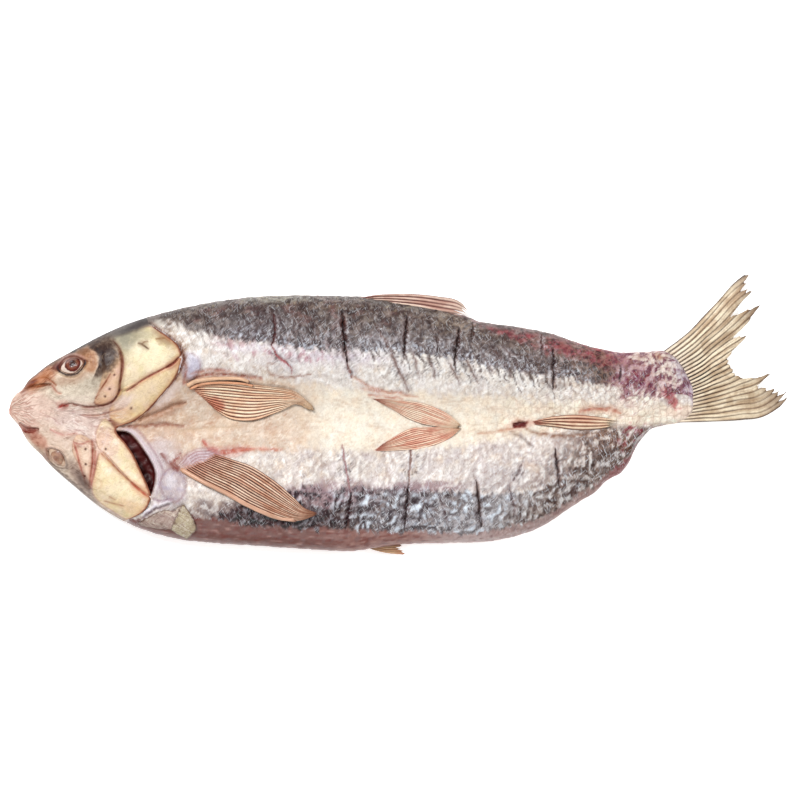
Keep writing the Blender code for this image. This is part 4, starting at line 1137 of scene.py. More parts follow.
    paint.lay((98, 82, 76), back)
    paint.lay((168, 158, 152), back * (1 - ease(-175, -135, x + 10 * clouds(x, side, 9, 3, 183))) * 0.75)
    paint.lay((176, 160, 142), silver * (1 - ease(-172, -130, x + 0.8 * (72 - y))) * 0.6)
    # painted shadow beside the upper gill cover's upper-right edge
    paint.lay((150, 122, 100), silver
              * (1 - ease(2, 13, x - trailingEdge(y) + 3 * clouds(x, side, 7, 2, 193))) * ease(40, 52, y)
              * 0.7)
    paint.lay((64, 50, 48), back * ease(0.0, 0.45, clouds(x, side, 12, 3, 93)) * 0.75)
    paint.lay((116, 78, 74),
              back * ease(0.05, 0.5, clouds(x, side, 14, 3, 94)) * 0.7 * (1 - ease(-20, 20, x)))
    paint.lay((58, 42, 44), 0.8 * back * blob(x, y, (-100, 66), (56, 26), -4, 0.6, 0.4, 63))
    paint.lay((134, 120, 104), back * ease(0.1, 0.6, clouds(x, side, 9, 3, 95)) * 0.6 * ease(-90, -20, x))
    paint.lay((126, 122, 118), back * (1 - ease(2, 9, edgeUp + 2 * clouds(x, side, 8, 2, 130))) * 0.7)
    paint.lay((156, 152, 138), blob(x, y, (-94, 88), (44, 8), 0, 0.5, 0.4, 64) * 0.75)
    paint.lay((206, 190, 150),
              0.5 * ease(0.3, 0.6, clouds(x, side, 4, 3, 131)) * (1 - ease(6, 14, edgeUp)) * back)
    paint.lay((166, 148, 130), 0.7 * blob(x, y, (46, 70), (34, 16), -10, 0.5, 0.5, 73) * back)
    paint.lay((98, 86, 80), collar * 0.95)
    paint.lay((58, 46, 44), collar * ease(0.0, 0.5, clouds(x, side, 7, 3, 184)) * 0.6)
    paint.lay((206, 200, 190), 0.8 * blob(x, y, (-184, 69), (9, 6), -30, 0.4, 0.4, 74))
    paint.lay((110, 90, 80), 0.6 * blob(x, y, (-176, 66), (5, 14), -20, 0.4, 0.4, 75))
    paint.lay((142, 104, 100), redBack * 0.85)
    paint.lay((142, 58, 66),
              redBack * ease(-0.35, 0.35, clouds(x, side, 12, 3, 96) + 0.3 * ease(80, 150, x)) * 0.85)
    paint.lay((176, 116, 122), redBack * strokes(x, side, -20, 7, 2.0, 194, 0.4) * 0.45)
    paint.lay((120, 106, 104), redBack * (1 - ease(2, 6, edgeUp)) * 0.75 * (1 - ease(120, 150, x)))

    paint.lay((84, 66, 64), blue)
    paint.lay((146, 140, 144), blue * slate * 0.9)
    paint.lay((186, 182, 183), blue * ease(10, 70, x) * 0.85)
    paint.lay((112, 92, 82),
              blue * ease(0.0, 0.35, clouds(x, side, 9, 2, 97)) * (0.75 - 0.3 * slate - 0.3 * pale))
    paint.lay((70, 58, 62),
              blue * ease(0.1, 0.5, clouds(x, side, 11, 3, 132)) * (0.6 - 0.2 * slate - 0.3 * pale))
    purple = blob(x, y, (-54, -61), (62, 20), 4, 0.4, 0.4, 26)
    purple = purple + blob(x, y, (20, -56), (60, 8), 0, 0.4, 0.4, 27)
    paint.lay((152, 124, 131), np.clip(purple, 0, 1) * 0.85)
    paint.lay((182, 178, 183), blue * ease(-25, 10, x) * (1 - ease(-80, -70, y))
              * ease(-0.3, 0.3, clouds(x, side, 9, 3, 185)) * 0.6)
    darkSide = blob(x, y, (-108, -79), (116, 20), -4, 0.4, 0.3, 28)
    paint.lay((72, 54, 56), darkSide * 0.75)
    paint.lay((196, 192, 194), blue * ease(10, 40, x) * (1 - ease(-80, -70, y)) * 0.6)
    patches(paint, x, y,
            ((168, 142, 142), (-66, -66), (26, 12), 0, 0.5, 0.4, 85, 0.55),
            ((176, 164, 168), (-22, -67), (28, 14), 0, 0.6, 0.4, 195, 0.5),
            ((104, 94, 94), (54, -68), (20, 12), 0, 0.6, 0.4, 196, 0.4),
            ((190, 182, 184), (76, -50), (44, 18), 0, 0.5, 0.4, 86, lowSilver, 0.7),
            ((122, 108, 104), (116, 27), (26, 14), -8, 0.6, 0.4, 87, silver, 0.55))
    paint.lay((150, 136, 130), rear)
    paint.lay((186, 180, 177), rear * ease(0.0, 0.4, clouds(x, side, 8, 3, 134)) * 0.8)
    paint.lay((76, 58, 56),
              rear * ease(0.0, 0.45, clouds(x, side, 10, 3, 98)) * 0.8 * ease(120, 150, x - 0.8 * y - 20))
    patches(paint, x, y,
            ((96, 78, 72), (155, -33), (34, 24), 24, 0.5, 0.4, 79, rear),
            ((100, 62, 44), (166, -20), (30, 13), -18, 0.4, 0.5, 29, rear, 0.85),
            ((86, 48, 30), (165, -19), (12, 8), 0, 0.4, 0.5, 65, 0.9))

    # painted light and shade: each fold is painted lighter on its face towards the light and darker on the
    # other, with painted glints on the brightest faces and darker lines along fold valleys and facet borders
    lit = 0.55 * streak + 1.3 * broadLit + 0.35 * (level - 0.5) + 0.3 * streak2 * (1 - level)
    bright = ease(0.16, 0.62, lit)
    shade = ease(0.05, 0.55, -lit)
    glintFace = ease(0.50, 0.95, lit + 0.15 * crossCrest)
    borderShade = (1 - ease(0.0, 0.13, border)) * patchy
    shine = 0.30 + 0.70 * slate
    paint.lay((48, 40, 44), shade * (0.85 - 0.30 * slate - 0.22 * pale) * foil)
    paint.lay((168, 174, 186), bright * 0.8 * shine * foil)
    paint.lay((44, 38, 44), borderShade * (0.5 - 0.2 * pale) * foil)
    paint.lay((226, 236, 246), glintFace * 0.95 * np.clip(shine + 0.15, 0, 1) * foil * (0.45 + 0.55 * level))
    paint.lay((80, 64, 60), shade * 0.65 * rear)
    paint.lay((218, 212, 206), bright * 0.60 * rear)
    paint.lay((56, 44, 42), shade * 0.65 * back)
    paint.lay((152, 136, 124), bright * 0.35 * back * (1 - 0.5 * redBack) * ease(0.2, 0.8, level2))
    paint.lay((182, 170, 170), shade * 0.40 * lowSilver)
    paint.lay((196, 184, 178), shade * 0.25 * silver * (0.3 + 0.7 * wrinkled))
    paint.lay((255, 253, 250), bright * (0.6 * lowSilver + 0.65 * silver))
    paint.lay((150, 124, 116), (0.30 * crossCrest + 0.25 * borderShade) * lowSilver + 0.2 * borderShade * silver)
    for angle, seed in ((-56, 186), (42, 187), (-8, 188)):
        paint.lay((170, 148, 136),
                  strokes(x, side, angle, 7, 1.7, seed, 0.5) * (0.28 * lowSilver + 0.10 * silver))
    brushed(paint, x, side,
            ((46, 34, 34), -62, 16, 3.2, 189, 0.5, 0.7, back),
            ((46, 34, 36), 38, 12, 3.0, 190, 0.4, 0.5, back),
            ((174, 158, 150), -50, 12, 2.6, 191, 0.4, 0.6, back))

    # fine hairs of skin behind the gill covers and between the fins
    front = (1 - ease(-110, -70, x)) * (silver + 0.6 * lowSilver)
    paint.lay((168, 140, 120), strokes(x, side, -50, 12, 1.9, 116, 0.5) * 0.55 * front)
    paint.lay((255, 250, 244), strokes(x, side, -56, 12, 2.2, 117, 0.55) * 0.7 * front)
    throat = cream * (1 - ease(-90, -60, x))
    brushed(paint, x, side,
            ((172, 124, 100), 16, 14, 2.0, 118, 0.45, 0.5, throat),
            ((186, 146, 124), -14, 12, 2.0, 119, 0.4, 0.45, throat),
            ((252, 238, 220), 4, 13, 2.4, 120, 0.5, 0.5, throat))

    # steep creases that run down from the back, painted with light and shade: lit faces lighter, the others
    # darker, dark lines in the creases, and a painted highlight along the ridge beside each
    creaseShade = steepCrest * ease(-0.2, 0.4, clouds(x, side, 10, 2, 148))
    paint.lay((255, 252, 248), ease(0.12, 0.5, steepLit) * 0.6 * silver * wrinkled)
    paint.lay((150, 138, 130), ease(0.15, 0.5, -steepLit) * 0.26 * silver * wrinkled)
    paint.lay((128, 108, 98), creaseShade * 0.36 * silver * wrinkled)
    paint.lay((44, 34, 34), creaseShade * 0.6 * back)
    paint.lay((255, 253, 250), beside * 0.6 * silver * wrinkled)
    paint.lay((78, 64, 60),
              crease * np.clip(1.05 - 0.55 * depthShare, 0, 1) * 0.9 * (silver + back) * wrinkled)
    # the back's lower border: lighter grey, with painted glints on faces that lean to the light and painted
    # shade on those that lean away
    glints = ease(0.1, 0.6, 0.6 * streak2 + 1.5 * steepLit)
    paint.lay((162, 154, 160), nearSilver * 0.6)
    paint.lay((180, 174, 176), nearSilver * blob(x, y, (-22, 56), (36, 14), 0, 0.6, 0.4, 197) * 0.6)
    paint.lay((90, 74, 72), back * blob(x, y, (102, 42), (30, 14), -14, 0.6, 0.4, 198) * 0.5)
    paint.lay((206, 214, 228), glints * 0.95 * nearSilver)
    paint.lay((38, 33, 38), ease(0.1, 0.5, -streak2 - 0.5 * steepLit) * 0.7 * nearSilver)
    paint.lay((236, 226, 222), strokes(x, side, 52, 8, 1.9, 114, 0.35) * 0.4 * rear)
    paint.lay((62, 48, 46), strokes(x, side, -74, 11, 2.0, 115, 0.5) * 0.6 * rear)
    paint.lay((180, 148, 126), belly * cream * 0.34)
    brushed(paint, x, side,
            ((196, 164, 138), 30, 6, 1.6, 199, 0.45, cream, 0.26),
            ((206, 172, 148), -38, 6, 1.6, 171, 0.4, cream, 0.24),
            ((255, 250, 238), 74, 6, 2.0, 172, 0.5, cream, 0.45))

    # raw edge of the lower half
    rim = brown * (1 - rear * 0.3)
    paint.lay((152, 112, 104), rim)
    paint.lay((112, 74, 68), rim * (1 - ease(-70, -30, x)) * 0.8)
    paint.lay((118, 66, 60), rim * ease(0.0, 0.5,
                                        elongated(x, side, -6, 9, 3.2, 99) + 0.4
                                        * clouds(x, side, 4, 2, 135)) * 0.8)
    paint.lay((184, 148, 138), rim * ease(0.2, 0.7, elongated(x, side, -4, 8, 2.2, 136)) * 0.6)
    paint.lay((198, 182, 180), rim * ease(0, 50, x) * (0.8 - 0.4 * ease(100, 150, x)))
    paint.lay((116, 88, 88), rim * ease(0.1, 0.6, clouds(x, side, 5, 3, 137)) * 0.55)
    paint.lay((132, 62, 70), rim * ease(150, 170, x) * 0.75)
    paint.lay((140, 52, 68), 0.8 * blob(x, y, (181, -17), (24, 18), 50, 0.5, 0.5, 66)
              * ease(0.0, 0.4, clouds(x, side, 5, 3, 138)))

    # tail's root: pale skin mottled with purple and magenta
    paint.lay((216, 194, 190), tail * 0.85)
    stain = 0.6 * np.exp(-((y - 27 + 0.42 * (x - 190)) / 13) ** 2)
    stain = stain - 0.5 * blob(x, y, (208, 28), (22, 20), 0, 0.5, seed=76)
    purpleTail = ease(-0.2, 0.35, clouds(x, side, 7, 4, 100) + stain - 0.1)
    paint.lay((142, 92, 112), tail * purpleTail * 0.9)
    paint.lay((146, 96, 110), blob(x, y, (180, 36), (34, 26), -20, 0.7, 0.4, 88) * 0.55)
    paint.lay((118, 40, 56),
              tail * ease(0.2, 0.5, clouds(x, side, 5, 3, 101) + 0.15 * stain) * purpleTail * 0.9)
    paint.lay((206, 190, 176), tail * blob(x, y, (194, 43), (40, 11), 0, 0.6, 0.4, 30) * 0.75)
    paint.lay((236, 220, 208), tail * blob(x, y, (209, 30), (24, 26), 0, 0.5, 0.4, 67) * 0.75)
    paint.lay((150, 104, 118),
              0.7 * ease(222, 230, x + 0.25 * (y - 20) + 2 * clouds(x, y, 5, 2, 77)) * ease(0, 12, y))
    patches(paint, x, y,
            ((255, 243, 228), (182, 5), (66, 19), 6, 0.4, 0.3, 31, tail, 0.95),
            ((186, 174, 192), (222, 28), (13, 46), 26, 0.4, 0.4, 32, 0.7),
            ((238, 216, 200), (219, 1), (28, 11), 0, 0.4, 0.3, 33, 0.8),
            ((158, 58, 64), (210, 12), (7, 18), 34, 0.4, 0.5, 34, 0.7),
            ((164, 60, 50), (217, 45), (19, 6), -46, 0.4, 0.4, 68, 0.9),
            ((150, 96, 70), (200, 44), (6, 5), 0, 0.5, 0.5, 69, 0.6))
    # painted light and shade on the tail root's folds: faces towards the light lighter, the others darker
    paint.lay((250, 240, 230), bright * 0.4 * tail)
    paint.lay((132, 74, 96), shade * 0.6 * tail * ease(10, 20, y))
    paint.lay((92, 50, 62), shade * 0.5 * tail * ease(4, 16, y))

    # scales: a random tone each, a dark line along each free edge as painted shadow, and the rear part of
    # each scale lighter
    paint.shift((14, 14, 15), (scaleChance - 0.5) * scaled * (0.6 + cream))
    paint.shift((-46, -54, -54),
                scaleRim * scaled * (0.42 + 0.4 * tail + 0.25 * silver * ease(30, 90, x)) * (1 - back * 0.5))
    paint.shift((12, 11, 9), ease(0.5, 0.85, tilt) * (1 - scaleRim) * scaled)

    # cuts and folds: a dark core in a reddish edge, uneven along its length, with small creases beside it;
    # the skin round each is painted darker as shade, the creases beside are painted as dark shade and bright
    # glints, and a painted highlight runs along the ridge beside it
    for group, sharp in (("deep", 1.0), ("folds", 0.8)):
        for points, width, depth, colour in cuts[group]:
            near, along, hand = lineShare(x, y, points, 24)
            fade = np.clip(np.minimum(along, 1 - along) / 0.35, 0, 1) ** 0.6
            near = np.abs(near * np.where(hand == 0, 1, hand) + 0.9 * clouds(x, side, 5, 3, 120))
            half = width / 2 * fade * (0.62 + 0.75 * noise(along * 5 + width * 9, along * 0 + depth, 121))
            groove = np.clip(1 - near / np.maximum(half + 0.45, 0.3), 0, 1) * ease(0, 0.3, fade)
            lift = lift - depth * groove - 0.5 * np.exp(-(near / (width * 1.4)) ** 2) * fade
            lift = lift + 0.45 * depth * np.exp(-((near - width * 1.5) / width) ** 2) * fade
            near = near + 0.5 * clouds(x, side, 2.5, 2, 140)
            paint.shift((-26, -28, -26), np.exp(-(near / (width * 1.6)) ** 2) * fade * sharp)
            paint.lay((124, 88, 80), np.exp(-(near / (width * 0.8)) ** 2) * fade * sharp * 0.6)
            beside = np.exp(-(near / 7.0) ** 2) * fade * sharp * (1 - cream)
            paint.lay((58, 48, 50), beside * 0.85 * strokes(x, side, 38, 8, 2.0, 142, 0.6))
            paint.lay((236, 240, 246), beside * 0.8 * strokes(x, side, -36, 8, 2.0, 143, 0.6))
            paint.lay((240, 238, 240),
                      np.exp(-((near - width * 1.3) / 0.9) ** 2) * fade * 0.4 * (1 - cream) * patchy)
            paint.lay(colour, np.clip(groove * 1.8, 0, 1) * sharp
                      * np.clip(0.75 + 0.5 * clouds(x, side, 6, 2, 192), 0.3, 1))

    # gill cavity with the shoulder's pale rim
    pocket = gillPocket(x, y)
    bottom = gill["floor"] + 1.2 * clouds(x, y, 6, 2, 122)
    rimNear, rimAlong, _ = lineShare(x, y, gill["rim"])
    rimFade = np.clip(np.minimum(rimAlong + 0.08, 1.05 - rimAlong) / 0.2, 0, 1)
    lift = lift + 1.9 * np.exp(-(rimNear / 2.0) ** 2) * rimFade * (1 - pocket)
    paint.lay((206, 196, 206), blob(x, y, (-186, -34), (34, 22), 55, 0.5, 0.4, 70) * 0.6)
    paint.lay((172, 122, 106), blob(x, y, (-162, -40), (22, 22), 0, 0.6, 0.5, 89) * 0.5)
    paint.lay((232, 222, 226), np.exp(-(rimNear / 2.1) ** 4) * rimFade * 0.95)
    paint.lay((168, 132, 142), np.exp(-((rimNear - 3.2) / 0.9) ** 2) * rimFade * 0.55)
    paint.lay((150, 110, 128), np.exp(-((rimNear - 0.2) / 0.5) ** 2) * rimFade * 0.35)
    height = skinHeight(x, y) + lift
    height = height * (1 - pocket) + bottom * pocket
    paint.lay((132, 58, 46), ease(0.05, 0.45, pocket))
    paint.lay((104, 34, 28), ease(0.3, 0.8, pocket))
    arches = np.sin((x * 0.86 + y * 0.5) * 0.9 + clouds(x, y, 6, 2, 149)) * ease(0.5, 0.9, pocket)
    paint.lay((128, 46, 38), np.clip(arches, 0, 1) * 0.3)
    paint.lay((70, 18, 15), np.clip(-arches, 0, 1) * 0.6)
    paint.lay((70, 16, 14),
              ease(-2, 5, x - np.interp(y, (-60, -13), (-192, -216))) * ease(0.5, 0.9, pocket) * 0.5)

    # shoulder ovals, the blade of bone behind the lower gill, folds before the fins, vent
    for at, size, turn, oval, dome in [((-159, 36.5), (16, 20), -10, (196, 192, 212), 1.5),
                                       ((-172.5, -55), (21, 27), 10, (194, 178, 182), 1.6)]:
        patch = blob(x, y, at, size, turn, 0.3, 0.2, 35)
        height = height + dome * patch
        paint.lay(oval, patch * 0.8)
        paint.lay((170, 160, 182), patch * ease(0.0, 0.5, clouds(x, y, 5, 3, 144)) * 0.5)
        # painted highlight on the upper left of each dome
        paint.lay((244, 240, 246), blob(x, y, (at[0] - 2, at[1] + 3), (size[0] * 0.4, size[1] * 0.4), turn,
                                        0.5, seed=36) * 0.5)
        paint.lay((140, 104, 108), np.exp(-((openingShare(x, y, at, size, turn) - 0.95) / 0.07) ** 2) * 0.45)
    for points, width, depth, tone in trunkLook["strokes"]:
        wobbled = (x + 0.9 * clouds(x, y, 5, 2, 147), y + 0.9 * clouds(x, y, 5, 2, 148))
        line = mark(*wobbled, points, width * 0.8, soft=0.9)
        height = height - depth * line
        paint.lay(tone, mark(*wobbled, points, width * 2.4, soft=1.6) * 0.22)
        paint.lay(tone, line * np.clip(0.62 + 0.6 * clouds(x, y, 4, 2, 145), 0.15, 0.95))
    roots = np.hypot(x + 149, y + 47)
    arcs = (0.5 + 0.5 * np.cos(roots * 2 * math.pi / 2.3)) * ease(5, 8, roots) * (1 - ease(19, 23, roots))
    sector = ease(-46, -38, y + 0.2 * (x + 149)) * (1 - ease(-138, -134, x))
    paint.lay((216, 200, 212), sector * (1 - ease(17, 22, roots)) * ease(4, 8, roots) * 0.7)
    paint.lay((150, 104, 106), arcs * sector * 0.7)
    height = height + 0.35 * arcs * sector
    # painted shadow beside the gill cover's trailing edge: a soft brown band, and a thin dark line at the
    # edge that widens towards the top
    fromCover = x - trailingEdge(y)
    cover = ease(-8, -4, y) * (1 - ease(64, 72, y)) * (fromCover > 0)
    paint.lay((160, 116, 88), cover * (1 - ease(0.5, 6.5, fromCover + 1.5 * clouds(x, y, 6, 2, 146))) * 0.7
              * (1 - 0.5 * ease(20, 40, y)))
    shadowWidth = 1 + 1.3 * ease(28, 46, y)
    paint.lay((92, 50, 38),
              cover * (1 - ease(0.2, 1.9, fromCover / shadowWidth + 0.5 * clouds(x, y, 4, 2, 147))) * 0.9)
    paint.lay((182, 140, 114), blob(x, y, (-186, 0), (34, 11), 26, 0.5, 0.4, 38) * 0.5)
    paint.lay((238, 222, 218), blob(x, y, (-178, 14), (30, 9), 44, 0.5, 0.4, 71) * 0.65)
    vent = blob(x, y, (94, -8.5), (11, 4.6), 8, 0.3, 0.35, 41)
    height = height + 0.9 * np.exp(-((np.hypot((x - 94) / 1.7, y + 8.5) - 4.0) / 1.2) ** 2) - 2.4 * vent
    paint.lay((186, 110, 92), blob(x, y, (94, -8.5), (18, 8), 8, 0.5, 0.4, 72) * 0.35)
    paint.lay((104, 30, 26), vent * 1.1)
    paint.lay((40, 30, 30), blob(x, y, (-76, -80.5), (10, 7), 70, 0.3, 0.3, 42) * 0.9)

    gloss = np.clip(0.55 - 0.35 * (blue + silver * 0.7 + lowSilver * 0.6) + 0.15 * cream + 0.3 * pocket
                    + 0.15 * clouds(x, y, 8, 2, 123), 0, 1)
    sheen = foil * (0.45 + 0.55 * slate) + 0.5 * silver + 0.5 * lowSilver
    sheen = sheen + 0.35 * back + 0.15 * cream + 0.6 * nearSilver
    sheen = sheen + 0.35 * tail + 0.45 * rear
    sheen = np.clip(sheen * (1 - pocket) * (1 - 0.7 * redBack), 0, 1)
    net = np.clip(scaled * (0.35 + 0.5 * cream + 0.5 * ease(100, 170, x)) * (1 - 0.5 * blue) * (1 - pocket),
                  0, 1)
    return height, paint, gloss, sheen, net


def fleshSide(x, y, share):
    # colour of the gutted underside: ribs over amber flesh, darker along the backbone's cut
    u = np.abs(share)
    ribPitch, ribLean = 9.5, 26
    blockPitch, blockLean = 8.0, 30  # the muscle's blocks
    paint = Paint(x.shape, (196, 132, 92))
    paint.shift((22, 22, 20), clouds(x, y, 18, 3, 131))
    paint.lay((222, 180, 136), 0.7 * ease(0.0, 0.5, clouds(x, y, 30, 2, 132)))
    cavity = (1 - ease(0.42, 0.56, u)) * ease(-205, -180, x) * (1 - ease(95, 130, x))
    paint.lay((176, 116, 92), cavity * 0.7)
    ribs = 0.5 + 0.5 * np.cos(2 * math.pi * (x - ribLean * u) / ribPitch)
    paint.lay((226, 204, 172), cavity * ease(0.72, 0.95, ribs) * ease(0.08, 0.2, u) * 0.8)
    paint.lay((120, 62, 48), 0.6 * (1 - ease(0.02, 0.08, u)) * cavity)
    blocks = 0.5 + 0.5 * np.cos(2 * math.pi * (x - blockLean * np.abs(u - 0.75)) / blockPitch)
    paint.lay((160, 92, 64), (1 - cavity) * ease(0.75, 1.0, blocks) * 0.5)
    paint.lay((132, 70, 50), 0.6 * ease(0.9, 1.0, u))
    return paint, cavity, ribs


def makeTrunk():
    look = trunkLook
    columns, wall = look["columns"], look["wall"]
    across = columnShares(columns + 1 - 2 * wall)
    v = np.concatenate([np.full(wall, -1.0), across, np.full(wall, 1.0)])[None, :]
    stations = np.linspace(look["front"], look["end"], look["rows"] + 1)
    x = np.tile(stations[:, None], (1, v.shape[1]))

    def spread(x):
        belly = bellyLine(x)
        return np.where(v > 0, belly + v * (upperEdge(x) - belly), belly + v * (belly - lowerEdge(x)))

    y = spread(x)
    for points, *_ in cuts["deep"]:
        line = curve(points, np.linspace(0, 1, 16))
        order = np.argsort(line[:, 1])
        lineX = np.interp(y, line[order, 1], line[order, 0])
        low, high = line[order[0], 1], line[order[-1], 1]
        gap = np.maximum(low - y, y - high)
        pull = (1 - ease(0, 10, gap)) * 0.6
        away = x - lineX
        reach = 9.0
        squeeze = 1 - pull * (1 - np.minimum(np.abs(away) / reach, 1))
        x = np.where(np.abs(away) < reach, lineX + away * squeeze, x)
    y = spread(x)
    t = np.zeros(v.shape[1])
    sideWall = np.linspace(0, 1, wall + 1)[1:]
    t[:wall], t[-wall:] = sideWall[::-1], sideWall
    side = np.sign(v[0])
    below = t[None, :] * skinHeight(x, y)
    z, paint, gloss, foil, net = trunkSkin(x, y, below)

    under = np.clip((trailingEdge(y) - 1.5 - x) / 6, 0, 1)  # the front end hides inside the head
    z = z - 4.5 * under * (1 - gillPocket(x, y))
    half = np.where(side > 0, upperEdge(x) - bellyLine(x), bellyLine(x) - lowerEdge(x))
    tuck = np.minimum(body["tuck"], 0.25 * half)
    ragged = 0.45 * clouds(x, y, 6, 3, 141) * ease(0.93, 1.0, np.abs(v))
    y = y + side * (ragged + 0.5 * np.sin(math.pi * t) - tuck * t**2)
    y = y - side * 4.0 * ease(0, 1, under) * ease(0.85, 1.0, np.abs(v))
    z = z * (1 - t[None, :])
    flesh = ease(0.35, 0.75, t[None, :] + 0.25 * clouds(x, below, 6, 3, 180))
    paint.lay((158, 108, 86), flesh * 0.9)
    paint.lay((192, 140, 106), flesh * ease(0.0, 0.5, clouds(x, below, 9, 3, 181)) * 0.7)
    paint.lay((108, 60, 48), flesh * strokes(x, below, 0, 18, 2.4, 182, 0.5) * 0.7)

    ends = np.ones(z.shape)
    ends[-4:] = np.linspace(0.85, 0.12, 4)[:, None]
    z = z * ends
    top = np.dstack([x, y, z])
    low = top[::look["coarse"], ::look["coarse"]].copy()
    inside = slice(wall, -wall)
    for row, ring in zip(low, top[::look["coarse"]]):  # the underside runs straight from border to border
        row[:, 1] = np.linspace(ring[0, 1], ring[-1, 1], len(row))
        row[1:-1, 0] = np.interp(row[1:-1, 1], ring[inside, 1], ring[inside, 0])
        row[1:-1, 2] = np.interp(row[1:-1, 1], ring[inside, 1], ring[inside, 2])
    lx, ly = low[..., 0], low[..., 1]
    share = halfShare(lx, ly)
    fleshPaint, cavity, ribs = fleshSide(lx, ly, share)
    relief = 1.5 * cavity + 0.5 * cavity * (1 - ribs)
    relief = relief + 0.35 * np.abs(clouds(lx, ly, 10, 2, 142)) * (np.abs(share) < 0.6)
    low[..., 2] = np.minimum(relief, np.maximum(low[..., 2] - 0.8, 0.0))
    points, faces = closedShell(top, low, look["coarse"])
    colour = np.concatenate([paint.linear().reshape(-1, 3), fleshPaint.linear()[1:-1, 1:-1].reshape(-1, 3)])
    inner = (low.shape[0] - 2) * (low.shape[1] - 2)
    gloss = np.concatenate([gloss.ravel(), np.full(inner, 0.6)])
    nothing = np.zeros(inner)
    foil, net = np.concatenate([foil.ravel(), nothing]), np.concatenate([net.ravel(), nothing])
    trunk = makeMesh("trunk", points, faces, colour, gloss=gloss, foil=foil, net=net)
    print("trunk", len(points), "points")
    return trunk


# eyes

def skinFrame(x, y, turn):
    reach = 3.0
    slopeX = float(skinHeight(x + reach, y) - skinHeight(x - reach, y)) / (2 * reach)
    slopeY = float(skinHeight(x, y + reach) - skinHeight(x, y - reach)) / (2 * reach)
    normal = Vector((-slopeX, -slopeY, 1)).normalized()
    angle = math.radians(turn)
    ahead = Vector((math.cos(angle), math.sin(angle), 0))
    ahead = (ahead - ahead.project(normal)).normalized()
    rotation = Matrix((ahead, normal.cross(ahead), normal)).transposed().to_4x4()
    return Matrix.Translation(Vector((x, y, float(skinHeight(x, y))))) @ rotation


eyeLook = {
    "upper": {"at": (-250.8, 37.0), "size": (18.4, 12.6), "turn": 14, "dome": 2.5, "sink": -1.2, "iris": 6.1,
              "offset": (1.2, 1.0), "lidShadow": 0.35, "dull": 0.12,
              "tones": {"pupil": (58, 24, 22), "iris": (132, 78, 60), "ring": (92, 42, 36),
                        "edge": (66, 28, 24),
                        "white": (228, 208, 194)}},
    "lower": {"at": (-262.5, -34.0), "size": (17.6, 10.4), "turn": -44, "dome": 1.7, "sink": -1.2,
              "iris": 5.6,
              "offset": (0.4, -0.4), "lidShadow": 0.25, "dull": 0.45,
              "tones": {"pupil": (152, 112, 94), "iris": (188, 150, 126), "ring": (164, 124, 102),
                        "edge": (140, 100, 80),
                        "white": (208, 180, 156)}},
}


